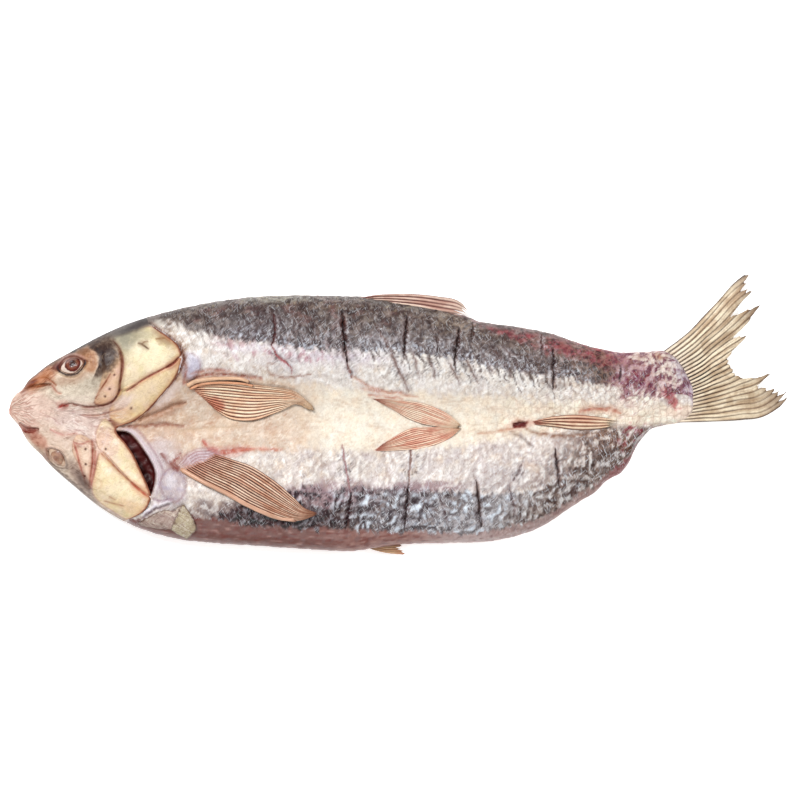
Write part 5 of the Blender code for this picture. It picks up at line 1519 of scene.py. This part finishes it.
def makeEye(name, look):
    rings, spokes = 44, 90
    r = np.linspace(0, 1, rings)[1:, None]
    a = np.linspace(0, 2 * math.pi, spokes, endpoint=False)[None, :]
    almond = 1 / np.sqrt(np.cos(a)**2 + (np.sin(a) * (1 + 0.35 * np.cos(a)**2)) ** 2)  # pointed at both ends
    localX = r * np.cos(a) * almond * look["size"][0] / 2
    localY = r * np.sin(a) * almond * look["size"][1] / 2
    rim = r * np.ones(a.shape)
    tones = look["tones"]
    iris = np.hypot(localX - look["offset"][0], localY - look["offset"][1]) / look["iris"]
    iris = iris + 0.05 * noise(localX / 2, localY / 2, 153)
    dome = 1 - np.clip(np.hypot(localX / look["size"][0], localY / look["size"][1]) * 2, 0, 1.3) ** 2
    fibre = noise(np.arctan2(localY, localX) * 6, iris * 2.5, 154)
    height = look["sink"] + look["dome"] * dome + 0.06 * fibre * (1 - ease(0.9, 1.2, iris))
    height = height - 0.5 * (1 - ease(0.22, 0.4, iris)) + 0.15 * clouds(localX, localY, 3, 2, 151) * r
    paint = Paint(rim.shape, tones["white"])
    paint.lay((206, 160, 134), 0.6 * ease(0.86, 1.0, rim))
    paint.lay(tones["iris"], 1 - ease(0.92, 1.04, iris))
    paint.lay(tones["ring"], (1 - ease(0.9, 1.0, iris)) * ease(0.55, 0.95, iris + 0.15 * fibre) * 0.7)
    paint.lay(tones["ring"], ease(0.1, 0.7, fibre) * (1 - ease(0.85, 0.95, iris)) * 0.5)
    paint.lay(tones["edge"], np.exp(-((iris - 0.97) / 0.07) ** 2) * 0.7)
    # painted reflections on the eye: a pinkish one at the upper left, an olive one at the right and a small
    # highlight over the pupil, all weaker on the duller eye
    paint.lay((176, 136, 130),
              0.6 * np.exp(-((localX + 1.5) ** 2 / 8 + (localY - 3.2) ** 2 / 2.5)) * (1 - look["dull"]))
    paint.lay(tones["pupil"], (1 - ease(0.30, 0.62, iris + 0.10 * fibre)) * 0.95)
    paint.lay((104, 100, 84),
              0.5 * np.exp(-((localX - 3.4) ** 2 / 2.5 + (localY - 1.8) ** 2 / 4)) * (1 - look["dull"]))
    # painted shadow of the lid over the upper part of the eye
    paint.lay((70, 34, 28), ease(0.25, 0.95, localY / (look["size"][1] / 2)) * look["lidShadow"])
    paint.lay((206, 178, 164),
              0.55 * np.exp(-((localX + 0.8) ** 2 + (localY - 1.6) ** 2) / 0.5) * (1 - look["dull"]))
    paint.shift((20, 15, 13), noise(a * 9 + 0 * r, iris * 3, 152) * (1 - ease(0.95, 1.1, iris)))
    paint.lay((60, 32, 26), ease(0.93, 1.0, rim) * (0.7 - 0.4 * look["dull"]))
    place = skinFrame(*look["at"], look["turn"])
    top = np.dstack([localX, localY, height])
    base = np.dstack([localX[-1:], localY[-1:], np.full((1, spokes), -3.4)])
    local = np.concatenate([[[0, 0, float(height[0].mean())]], top.reshape(-1, 3), base.reshape(-1, 3),
                            [[0, 0, -3.8]]])
    matrix = np.array(place)
    points = local @ matrix[:3, :3].T + matrix[:3, 3]
    faces = []
    for k in range(spokes):
        n = (k + 1) % spokes
        faces.append([0, 1 + k, 1 + n])
        for q in range(rings - 1):
            first, second = 1 + q * spokes, 1 + (q + 1) * spokes
            faces.append([first + k, second + k, second + n, first + n])
        last = 1 + (rings - 1) * spokes
        faces.append([last + k, last + spokes, last + n])
    colour = paint.linear()
    # the eye's hidden side and base are very dark, as painted shade in the socket
    colour = np.concatenate([colour[:1, :1].reshape(-1, 3), colour.reshape(-1, 3),
                             np.tile([[0.1, 0.04, 0.03]], (spokes + 1, 1))])
    return makeMesh(name, points, faces, colour, gloss=0.1 + look["dull"])


# fins

def onSkin(lift, curl=0.0):
    return lambda x, y, s: skinHeight(x, y) + lift + curl * s**3


def hanging(root, tip):
    return lambda x, y, s: root + (tip - root) * s + 0.5 * np.sin(y / 9.0)


def torn(points):
    w, reach = np.array(points, float).T
    return lambda at: np.interp(at, w, reach)


fins = {
    "tailFin": dict(
        lead=[(202, 46), (223, 62), (235, 74.5), (247, 87), (259, 100.5), (272.5, 111)],
        trail=[(215, -7), (234, -6.5), (248, -6), (265, -5), (283, -2), (305, 12.5)],
        rays=24, along=104, rootThick=2.4, tipThick=0.5, ridge=0.9, bulge=9.0, fork=0.48, split=0.05,
        line=0.24, rootLine=0.8,
        height=hanging(6.2, 3.6), sunk=1.2, middle=0.75,
        reach=torn([(0, 0.99), (0.03, 1.0), (0.05, 0.965), (0.08, 0.915), (0.11, 0.955), (0.14, 0.975),
                    (0.15, 0.87),
                    (0.165, 0.78), (0.18, 0.68), (0.205, 0.78), (0.235, 0.90), (0.263, 0.995), (0.285, 0.92),
                    (0.305, 0.88), (0.318, 0.80), (0.325, 0.67), (0.35, 0.72), (0.385, 0.83), (0.405, 0.735),
                    (0.42, 0.635), (0.453, 0.55), (0.50, 0.535), (0.60, 0.59), (0.655, 0.64), (0.71, 0.83),
                    (0.745, 0.935), (0.765, 0.80), (0.80, 0.85), (0.825, 0.865), (0.863, 0.925),
                    (0.895, 0.945),
                    (0.94, 0.995), (0.957, 0.965), (0.985, 0.995), (1, 0.97)]),
        crest=(238, 222, 194), groove=(40, 24, 20), root=(238, 222, 202), tip=(124, 100, 82),
        stain=(178, 150, 120)),
    "pectoralUpper": dict(
        sunk=2.2,
        lead=[(-163, 22), (-152, 24.5), (-133, 25.0), (-112, 22.5), (-82, 18), (-70, 10), (-62, 1.5)],
        trail=[(-146, 8), (-137.5, 0.5), (-127, -4.8), (-110, -5.2), (-90, 2), (-78, 7), (-65, 0.5)],
        crowd=0.85, rays=13, along=86, rootThick=3.2, tipThick=0.7, ridge=1.3, bulge=0.0, fork=0.66,
        split=0.02, line=0.36,
        height=onSkin(1.7, 1.0), middle=0.0, reach=torn([(0, 0.93), (0.3, 1.0), (0.7, 0.98), (1, 0.96)]),
        blush=((-140, 7), (13, 10), (206, 128, 104)),
        crest=(254, 228, 200), groove=(96, 46, 32), root=(206, 140, 114), tip=(240, 214, 178),
        stain=(232, 184, 150)),
    "pectoralLower": dict(
        sunk=2.2,
        lead=[(-167, -42), (-150, -51.5), (-132, -60.5), (-114, -70.5), (-92, -79.5), (-76, -82),
              (-62, -77.5)],
        trail=[(-141, -31), (-128, -35), (-112, -40.5), (-94, -52), (-80, -64), (-72, -72), (-61, -76.5)],
        rays=14, along=92, rootThick=3.4, tipThick=0.7, ridge=1.45, bulge=0.0, fork=0.74, split=0.02,
        line=0.42,
        height=onSkin(2.2, 1.6), middle=0.0, reach=torn([(0, 1), (1, 1)]),
        crest=(246, 214, 190), groove=(66, 30, 24), root=(204, 148, 128), tip=(190, 130, 100),
        stain=(204, 148, 120)),
    "pelvicUpper": dict(
        sunk=1.0,
        lead=[(-20, 11.5), (-2, 10.5), (20, 7.5), (38, 0), (49, -9)],
        trail=[(-16, 9.5), (-4, 3), (10, -5), (26, -9.5), (48, -11.5)],
        rays=11, along=64, rootThick=2.6, tipThick=0.6, ridge=0.9, bulge=0.0, fork=0.6, split=0.02, line=0.30,
        height=onSkin(1.2, 0.3), middle=0.0, reach=torn([(0, 1), (1, 0.98)]),
        crest=(255, 232, 208), groove=(152, 82, 66), root=(208, 134, 116), tip=(252, 230, 198),
        stain=(230, 172, 148)),
    "pelvicLower": dict(
        sunk=1.0,
        lead=[(-20, -28.5), (-2, -28.5), (20, -26.5), (38, -20), (49, -11)],
        trail=[(-14, -25), (-4, -18.5), (10, -11.5), (26, -10.5), (48, -9.5)],
        rays=11, along=64, rootThick=2.6, tipThick=0.6, ridge=0.9, bulge=0.0, fork=0.6, split=0.02, line=0.30,
        height=onSkin(0.9, 0.3), middle=0.0, reach=torn([(0, 1), (1, 0.98)]),
        crest=(250, 217, 192), groove=(148, 76, 62), root=(196, 112, 96), tip=(248, 222, 188),
        stain=(214, 142, 120)),
    "analFin": dict(
        sunk=2.2,
        lead=[(103, -6), (118, -2.5), (136, -1), (154, -2.5), (172, -5.5)],
        trail=[(104, -8.5), (118, -10), (136, -12.5), (154, -12), (170, -9)],
        rays=4, along=80, rootThick=2.6, tipThick=0.7, ridge=1.7, bulge=0.0, fork=0.9, split=0.10, line=0.42,
        height=onSkin(1.6, 0.2), middle=0.0, reach=torn([(0, 1), (0.5, 0.97), (1, 0.9)]),
        crest=(242, 218, 190), groove=(112, 56, 44), root=(184, 104, 90), tip=(236, 216, 184),
        stain=(212, 164, 138)),
    "dorsalFin": dict(
        lead=[(-35, 88), (-14, 91.6), (12, 92), (32, 90), (46, 87), (57, 77)],
        trail=[(-34, 85), (-14, 80.5), (10, 75), (30, 70.5), (46, 68.5), (56, 70)],
        rays=7, along=80, rootThick=3.0, tipThick=0.8, ridge=1.2, bulge=0.0, fork=0.72, split=0.16, line=0.34,
        height=hanging(17.0, 13.5), middle=0.0,
        reach=torn([(0, 0.93), (0.2, 1.0), (0.45, 0.93), (0.7, 1.0), (1, 0.9)]),
        crest=(232, 204, 188), groove=(94, 54, 50), root=(160, 110, 104), tip=(244, 230, 212),
        stain=(188, 142, 128)),
    "dorsalStub": dict(
        lead=[(-34, -97), (-20, -99.5), (-4, -100), (8, -98.5)],
        trail=[(-30, -100.5), (-18, -105.5), (-6, -108), (7, -109)],
        rays=5, along=44, rootThick=2.2, tipThick=0.6, ridge=0.7, bulge=0.0, fork=0.7, split=0.10, line=0.16,
        height=hanging(9.0, 5.5), middle=0.0, reach=torn([(0, 0.92), (0.4, 0.86), (0.7, 0.93), (1, 1)]),
        crest=(220, 182, 146), groove=(146, 88, 66), root=(170, 112, 92), tip=(196, 132, 108),
        stain=(204, 150, 112)),
}


def makeFin(name, look, seed):
    per = 10  # points across each ray
    count = look["rays"]
    w = np.linspace(0, 1, count * per + 1)
    spaced = w ** look.get("crowd", 1.0)
    ray = np.floor(np.clip(spaced, 0, 0.9999) * count)
    chance = scatter(ray, ray * 0, seed)
    middle = 1 - np.abs(np.mod(spaced * count, 1) * 2 - 1)  # 0 in the groove, 1 on the crest
    reach = look["reach"](w) * (1 - look["split"] * (0.4 + chance) * (1 - middle) ** 0.5 - 0.02 * chance)
    s = np.linspace(0, 1, look["along"] + 1)[:, None] * reach[None, :]
    point = curve(look["lead"], s) * (1 - w[None, :, None]) + curve(look["trail"], s) * w[None, :, None]
    x = np.minimum(point[..., 0] + look["bulge"] * 4 * w * (1 - w) * (1 - s), 299.8)
    y = np.minimum(point[..., 1], 108.8)
    wide = spaced[None, :] + 0.010 * noise(s * 4 + seed, w[None, :] * 4 + 0 * s, seed + 1)
    openShare = ease(look["fork"], look["fork"] + 0.12, s + 0.08 * (chance[None, :] - 0.5))
    whole = 1 - np.abs(np.mod(wide * count, 1) * 2 - 1)      # distance from the groove between rays
    halves = 1 - np.abs(np.mod(wide * count * 2, 1) * 2 - 1)  # and where each ray has split in two
    line = look["line"]
    crest = ease(0.0, line * 2.2, whole) * (1 - openShare) + ease(0, 0.5,
                                                                  np.minimum(whole * 1.6, halves)) * openShare
    rounded = np.sqrt(np.clip(whole, 0, 1))
    body_ = 0.55 * crest + 0.45 * rounded
    lift = look["ridge"] * (body_ - 0.6) * (1 - 0.45 * s) + 0.3 * clouds(x, y, 9, 2, seed + 2)
    joints = np.sin(s * 150 + chance * 20) * ease(0.45, 0.7, s)
    height = look["height"](x, y, s) + lift + 0.05 * joints - look.get("sunk", 0.0) * (1 - ease(0, 0.08, s))
    thick = look["rootThick"] + (look["tipThick"] - look["rootThick"]) * s**0.6
    top = np.dstack([x, y, height])
    bottom = np.dstack([x, y, np.maximum(height - lift * 0.7 - thick, 0.2)])

    paint = Paint(x.shape, look["crest"])
    streak = noise(s * 3 + 3 * chance[None, :], w[None, :] * count * 0.8 + 0 * s, seed + 3)
    paint.lay(look["stain"], ease(-0.2, 0.5, streak) * 0.75)
    paint.lay(look["stain"], ease(0.0, 0.5, clouds(x, y, 10, 3, seed + 6)) * 0.5)
    paint.lay(look["root"], (1 - ease(0.0, 0.24, s)) * 0.8)
    paint.lay(look["tip"], ease(0.72, 1.0, s) * 0.75)
    paint.shift((18, 17, 16), (chance[None, :] - 0.5) * 1.5 + 0 * s)
    # ray crests a little lighter and the grooves between rays darker, as painted light and shade
    paint.shift((14, 12, 10), ease(0.55, 0.95, whole))
    paint.shift((-26, -28, -26), (1 - ease(0.0, line * 3.2, whole)) * 0.8)
    paint.shift((-10, -11, -11), np.clip(joints, 0, 1))
    strong = (1 - look["middle"]) + look["middle"] * (0.35 + 0.65 * np.exp(-((w[None, :] - 0.5) / 0.24) ** 2))
    strong = strong * (1 - 0.45 * ease(0.3, 0.95, s))
    line = line * (1 + look.get("rootLine", 0.0) * (1 - ease(0.1, 0.45, s)))
    if "blush" in look:
        at, size, tone = look["blush"]
        paint.lay(tone, blob(x, y, at, size, -20, 0.5, 0.4, seed + 7) * 0.85)
    broken = 0.85 + 0.35 * noise(s * 7, w[None, :] * count * 0.5 + 0 * s, seed + 4)
    dark = (1 - ease(line * 0.45, line * 1.25, whole)) * (1 - 0.5 * openShare)
    dark = dark + 0.55 * openShare * (1 - ease(0.1, 0.3, halves))
    paint.lay(look["groove"], np.clip(dark * strong * broken, 0, 1))
    rim = np.exp(-(w / 0.010) ** 2) + np.exp(-((1 - w) / 0.010) ** 2)
    paint.lay(look["groove"], 0.6 * rim[None, :] + 0 * s)
    paint.shift((10, 9, 8), clouds(x, y, 3, 2, seed + 5))
    ragged = (s > 0) * ease(0.97, 1.0, s / np.maximum(reach[None, :], 0.01))
    paint.shift((-44, -48, -48), ragged * 0.8)
    colour = paint.linear()
    points, faces = twoFacedSheet(top, bottom)
    gloss = np.clip(0.5 + 0.2 * clouds(points[:, 0], points[:, 1], 6, 2, seed), 0, 1)
    # the underside is the top's colour darkened, as painted shade
    colour = np.concatenate([colour.reshape(-1, 3), (colour * 0.8).reshape(-1, 3)])
    return makeMesh(name, points, faces, colour, gloss=gloss)


def makeSpine(name, line, radius, height, tone, seed):
    # one stiff ray as a tapered, slightly bent rod with a broken end
    rings, spokes = 36, 14
    t = np.linspace(0, 1, rings)
    path = curve(line, t)
    ahead = np.gradient(path, axis=0)
    ahead = ahead / np.linalg.norm(ahead, axis=1)[:, None]
    side = np.stack([-ahead[:, 1], ahead[:, 0]], axis=1)
    a = np.linspace(0, 2 * math.pi, spokes, endpoint=False)
    size = radius * (1 - 0.35 * t) * (1 + 0.06 * np.sin(t * 60))
    size[0], size[-1] = size[0] * 0.5, size[-1] * 0.75
    size = size[:, None]
    x = path[:, :1] + side[:, :1] * size * np.cos(a) * 1.15
    y = path[:, 1:] + side[:, 1:] * size * np.cos(a) * 1.15
    z = (skinHeight(path[:, 0], path[:, 1]) + height(t))[:, None] + size * np.sin(a) * 0.9
    x[-1] += 0.8 * noise(a * 2, a * 0 + seed, seed) * radius
    paint = Paint(x.shape, tone)
    paint.shift((26, 22, 20), noise(t[:, None] * 7 + 0 * a, a[None, :] * 1.2 + 0 * t[:, None], seed))
    # the lower half of the rod darker, as painted shade
    paint.lay((124, 66, 46), np.clip(-np.sin(a), 0, 1)[None, :] * 0.7 + 0 * t[:, None])
    paint.lay((88, 44, 34), ease(0.96, 1.0, t)[:, None] * 0.8 + 0 * a)
    faces = [[k for k in range(spokes)], [(rings - 1) * spokes + k for k in reversed(range(spokes))]]
    for q in range(rings - 1):
        for k in range(spokes):
            n = (k + 1) % spokes
            faces.append([q * spokes + k, (q + 1) * spokes + k, (q + 1) * spokes + n, q * spokes + n])
    points = np.stack([x, y, z], axis=-1).reshape(-1, 3)
    return makeMesh(name, points, faces, paint.linear(), gloss=0.4)


spines = {
    "brokenRayUpper": dict(line=[(-162, 21), (-154, 25), (-138, 26.8), (-122, 26.6), (-114, 24.2)],
                           radius=1.5,
                           tone=(224, 184, 152), height=lambda t: 2.2 + 0.8 * t),
    "secondRayUpper": dict(line=[(-160, 19), (-150, 22.6), (-134, 23.6), (-118, 22.6), (-111, 21.0)],
                           radius=1.1,
                           tone=(216, 158, 122), height=lambda t: 2.0 + 0.8 * t),
    "leadingRayLower": dict(line=[(-167, -42.5), (-150, -52), (-132, -61), (-114, -71), (-94, -79.5),
                                  (-78, -82)],
                            radius=1.6, tone=(212, 166, 140), height=lambda t: 2.2 + 0.6 * t),
}


# flap of scaled skin on the shoulder

flapLook = {"outline": [(-199, -85), (-190, -78.5), (-181, -74.5), (-172, -74), (-165, -70), (-160.5, -74.5),
                        (-154.6, -87),
                        (-158, -92.5), (-162.5, -96.5), (-168, -93.5), (-175, -89.5), (-186, -88.5)],
            "lift": 1.2, "thick": 0.7}


def makeFlap():
    rings, spokes = 40, 110
    loop = curve(flapLook["outline"], np.arange(spokes) / spokes, closed=True)
    loop = loop + 0.5 * np.stack([clouds(loop[:, 0], loop[:, 1], 3, 2, 161),
                                  clouds(loop[:, 0], loop[:, 1], 3, 2, 162)], 1)
    middle = loop.mean(axis=0)
    r = np.linspace(0, 1, rings)[1:, None]
    x = middle[0] + r * (loop[:, 0] - middle[0])
    y = middle[1] + r * (loop[:, 1] - middle[1])
    lift = flapLook["lift"] * (1.1 - 0.35 * r**3) + 0.35 * clouds(x, y, 6, 3, 163)
    lift = lift + 1.1 * ease(-170, -156, x) * r**2
    fibre = strokes(x, y, -35, 14, 1.6, 164, 0.6) + strokes(x, y, 52, 12, 1.8, 165, 0.5)
    lift = lift - 0.25 * fibre
    z = skinHeight(x, y) + lift
    paint = Paint(x.shape, (180, 158, 148))
    paint.shift((16, 14, 13), clouds(x, y, 7, 3, 166))
    paint.lay((136, 110, 108), ease(0.0, 0.5, clouds(x, y, 6, 3, 168)) * 0.6)
    border = x - 0.45 * (y + 84) + 172 + 0.8 * clouds(x, y, 3, 2, 170)
    diamond = ease(-0.8, 0.8, border)
    paint.lay((178, 164, 134), diamond * 0.9)
    paint.lay((206, 194, 164), diamond * ease(0.0, 0.6, clouds(x, y, 6, 3, 171)) * 0.7)
    paint.lay((92, 70, 62), np.exp(-(border / 0.7) ** 2) * 0.8)
    paint.lay((112, 88, 78), fibre * 0.55)
    paint.lay((238, 228, 210), strokes(x, y, -30, 11, 1.6, 167, 0.5) * 0.75)
    paint.lay((240, 234, 220), strokes(x, y, 55, 9, 1.6, 169, 0.5) * 0.55 * diamond)
    paint.lay((94, 72, 62), ease(0.90, 1.0, r * np.ones(spokes)) * 0.75)
    under = np.dstack([x[-1:], y[-1:], z[-1:] - flapLook["thick"]])
    centreTop = [[*middle, float(z[0].mean())]]
    centreLow = [[*middle, float(z[0].mean()) - 4]]
    points = np.concatenate([centreTop, np.dstack([x, y, z]).reshape(-1, 3), under.reshape(-1, 3), centreLow])
    faces = []
    for k in range(spokes):
        n = (k + 1) % spokes
        faces.append([0, 1 + k, 1 + n])
        for q in range(rings - 1):
            first, second = 1 + q * spokes, 1 + (q + 1) * spokes
            faces.append([first + k, second + k, second + n, first + n])
        last = 1 + (rings - 1) * spokes
        faces.append([last + k, last + spokes, last + n])
    colour = paint.linear()
    # the flap's underside ring is its edge colour darkened, as painted shade
    colour = np.concatenate([colour[:1, :1].reshape(-1, 3), colour.reshape(-1, 3), colour[-1] * 0.6,
                             colour[:1, :1].reshape(-1, 3)])
    return makeMesh("skinFlap", points, faces, colour, gloss=0.4, foil=0.5)


# build

skin = skinMaterial("dried fish skin", {
    "speckleScale": 0.85, "speckle": 0.12, "glossLow": 0.16, "glossHigh": 0.46, "grainScale": 1.4,
    "grain": 0.35,
    "bump": 0.6, "bumpDepth": 0.5, "coat": 0.04, "coatRoughness": 0.2, "specular": 0.28, "warp": 1.6,
    "foil": {"leans": (-58, 40, -80), "length": 5.5, "width": 0.8, "sparse": 0.64, "facet": 0.08,
             "glintTone": (236, 240, 246), "glintAmount": 0.44, "darkTone": (60, 46, 44), "darkAmount": 0.44,
             "height": 0.6},
    "net": {"scale": 0.155, "line": 0.09, "tone": (150, 116, 98), "amount": 0.36, "height": 0.7}})
bone = skinMaterial("dried head skin", {
    "speckleScale": 0.9, "speckle": 0.06, "glossLow": 0.2, "glossHigh": 0.5, "grainScale": 1.5, "grain": 0.3,
    "bump": 0.5, "bumpDepth": 0.35, "coat": 0.04, "coatRoughness": 0.25, "specular": 0.22, "warp": 4.0,
    "foil": {"leans": (24, -28, 70), "length": 5.0, "width": 0.9, "sparse": 0.61, "facet": 0.08,
             "glintTone": (250, 240, 228), "glintAmount": 0.3, "darkTone": (120, 82, 68), "darkAmount": 0.6,
             "height": 0.5}})
finHorn = skinMaterial("dried fin rays", {
    "speckleScale": 1.2, "speckle": 0.13, "glossLow": 0.25, "glossHigh": 0.5, "grainScale": 1.8, "grain": 0.4,
    "bump": 0.5, "bumpDepth": 0.3, "coat": 0.06, "coatRoughness": 0.3, "specular": 0.4})
wetEye = skinMaterial("dried eye", {
    "speckleScale": 1.8, "speckle": 0.14, "glossLow": 0.12, "glossHigh": 0.4, "grainScale": 2.4, "grain": 0.3,
    "bump": 0.2, "bumpDepth": 0.2, "coat": 0.16, "coatRoughness": 0.12, "specular": 0.4})

trunk = dress(makeTrunk(), skin, "skin", "carp")
head = dress(makeHead(), bone, "skin", "carp")
for key, look in eyeLook.items():
    dress(makeEye("eye" + key.capitalize(), look), wetEye, "eye", "eye_" + key)
for number, (name, look) in enumerate(fins.items()):
    dress(makeFin(name, look, 200 + 10 * number), finHorn, "skin", "carp")
for number, (name, look) in enumerate(spines.items()):
    dress(makeSpine(name, look["line"], look["radius"], look["height"], look["tone"], 300 + number), finHorn,
          "skin", "carp")
dress(makeFlap(), bone, "skin", "carp")
print("fish made")


# floor, light and camera

studio = {
    "floorSize": 9.0, "floorGlow": 0.55, "world": 0.22,
    # where each soft box stands, its power and its size
    "lights": {"key": ((-1.0, 1.2, 2.0), 74.0, 0.8), "side": ((1.7, 0.5, 1.5), 22.0, 1.2),
               "front": ((-0.2, -1.9, 1.4), 22.0, 1.2)},
}


def areaLight(name, at, power, size):
    light = bpy.data.lights.new(name, "AREA")
    light.energy, light.size = power, size
    made = bpy.data.objects.new(name, light)
    bpy.context.scene.collection.objects.link(made)
    made.location = at
    made.rotation_euler = (-Vector(at)).to_track_quat("-Z", "Y").to_euler()
    return made


def makeStudio():
    half = studio["floorSize"] / 2
    mesh = bpy.data.meshes.new("floor")
    mesh.from_pydata([(-half, -half, 0), (half, -half, 0), (half, half, 0), (-half, half, 0)], [],
                     [(0, 1, 2, 3)])
    floor = bpy.data.objects.new("floor", mesh)
    bpy.context.scene.collection.objects.link(floor)
    white = bpy.data.materials.new("white paper")
    white.use_nodes = True
    shader = white.node_tree.nodes["Principled BSDF"]
    shader.inputs["Base Color"].default_value = (0.93, 0.93, 0.93, 1)
    shader.inputs["Roughness"].default_value = 0.9
    shader.inputs["Specular IOR Level"].default_value = 0.1
    shader.inputs["Emission Color"].default_value = (1, 1, 1, 1)
    shader.inputs["Emission Strength"].default_value = studio["floorGlow"]
    mesh.materials.append(white)
    floor.location.z = -0.0003
    world = bpy.data.worlds.new("studio")
    world.use_nodes = True
    world.node_tree.nodes["Background"].inputs["Color"].default_value = (1, 1, 1, 1)
    world.node_tree.nodes["Background"].inputs["Strength"].default_value = studio["world"]
    bpy.context.scene.world = world
    for name, facts in studio["lights"].items():
        areaLight(name, *facts)
    bpy.context.scene.view_settings.view_transform = "Standard"


view = {"distance": 4.0, "aim": (1.5, 10.4, 16.0), "width": 615.4}


def makeCamera():
    camera = bpy.data.cameras.new("camera")
    made = bpy.data.objects.new("camera", camera)
    bpy.context.scene.collection.objects.link(made)
    camera.sensor_width = 36
    camera.lens = 36 * view["distance"] / (view["width"] * mm)
    camera.clip_end = 30
    aim = Vector(view["aim"]) * mm
    made.location = aim + Vector((0, 0, view["distance"]))
    made.rotation_euler = (0, 0, 0)
    bpy.context.scene.camera = made


makeStudio()
makeCamera()
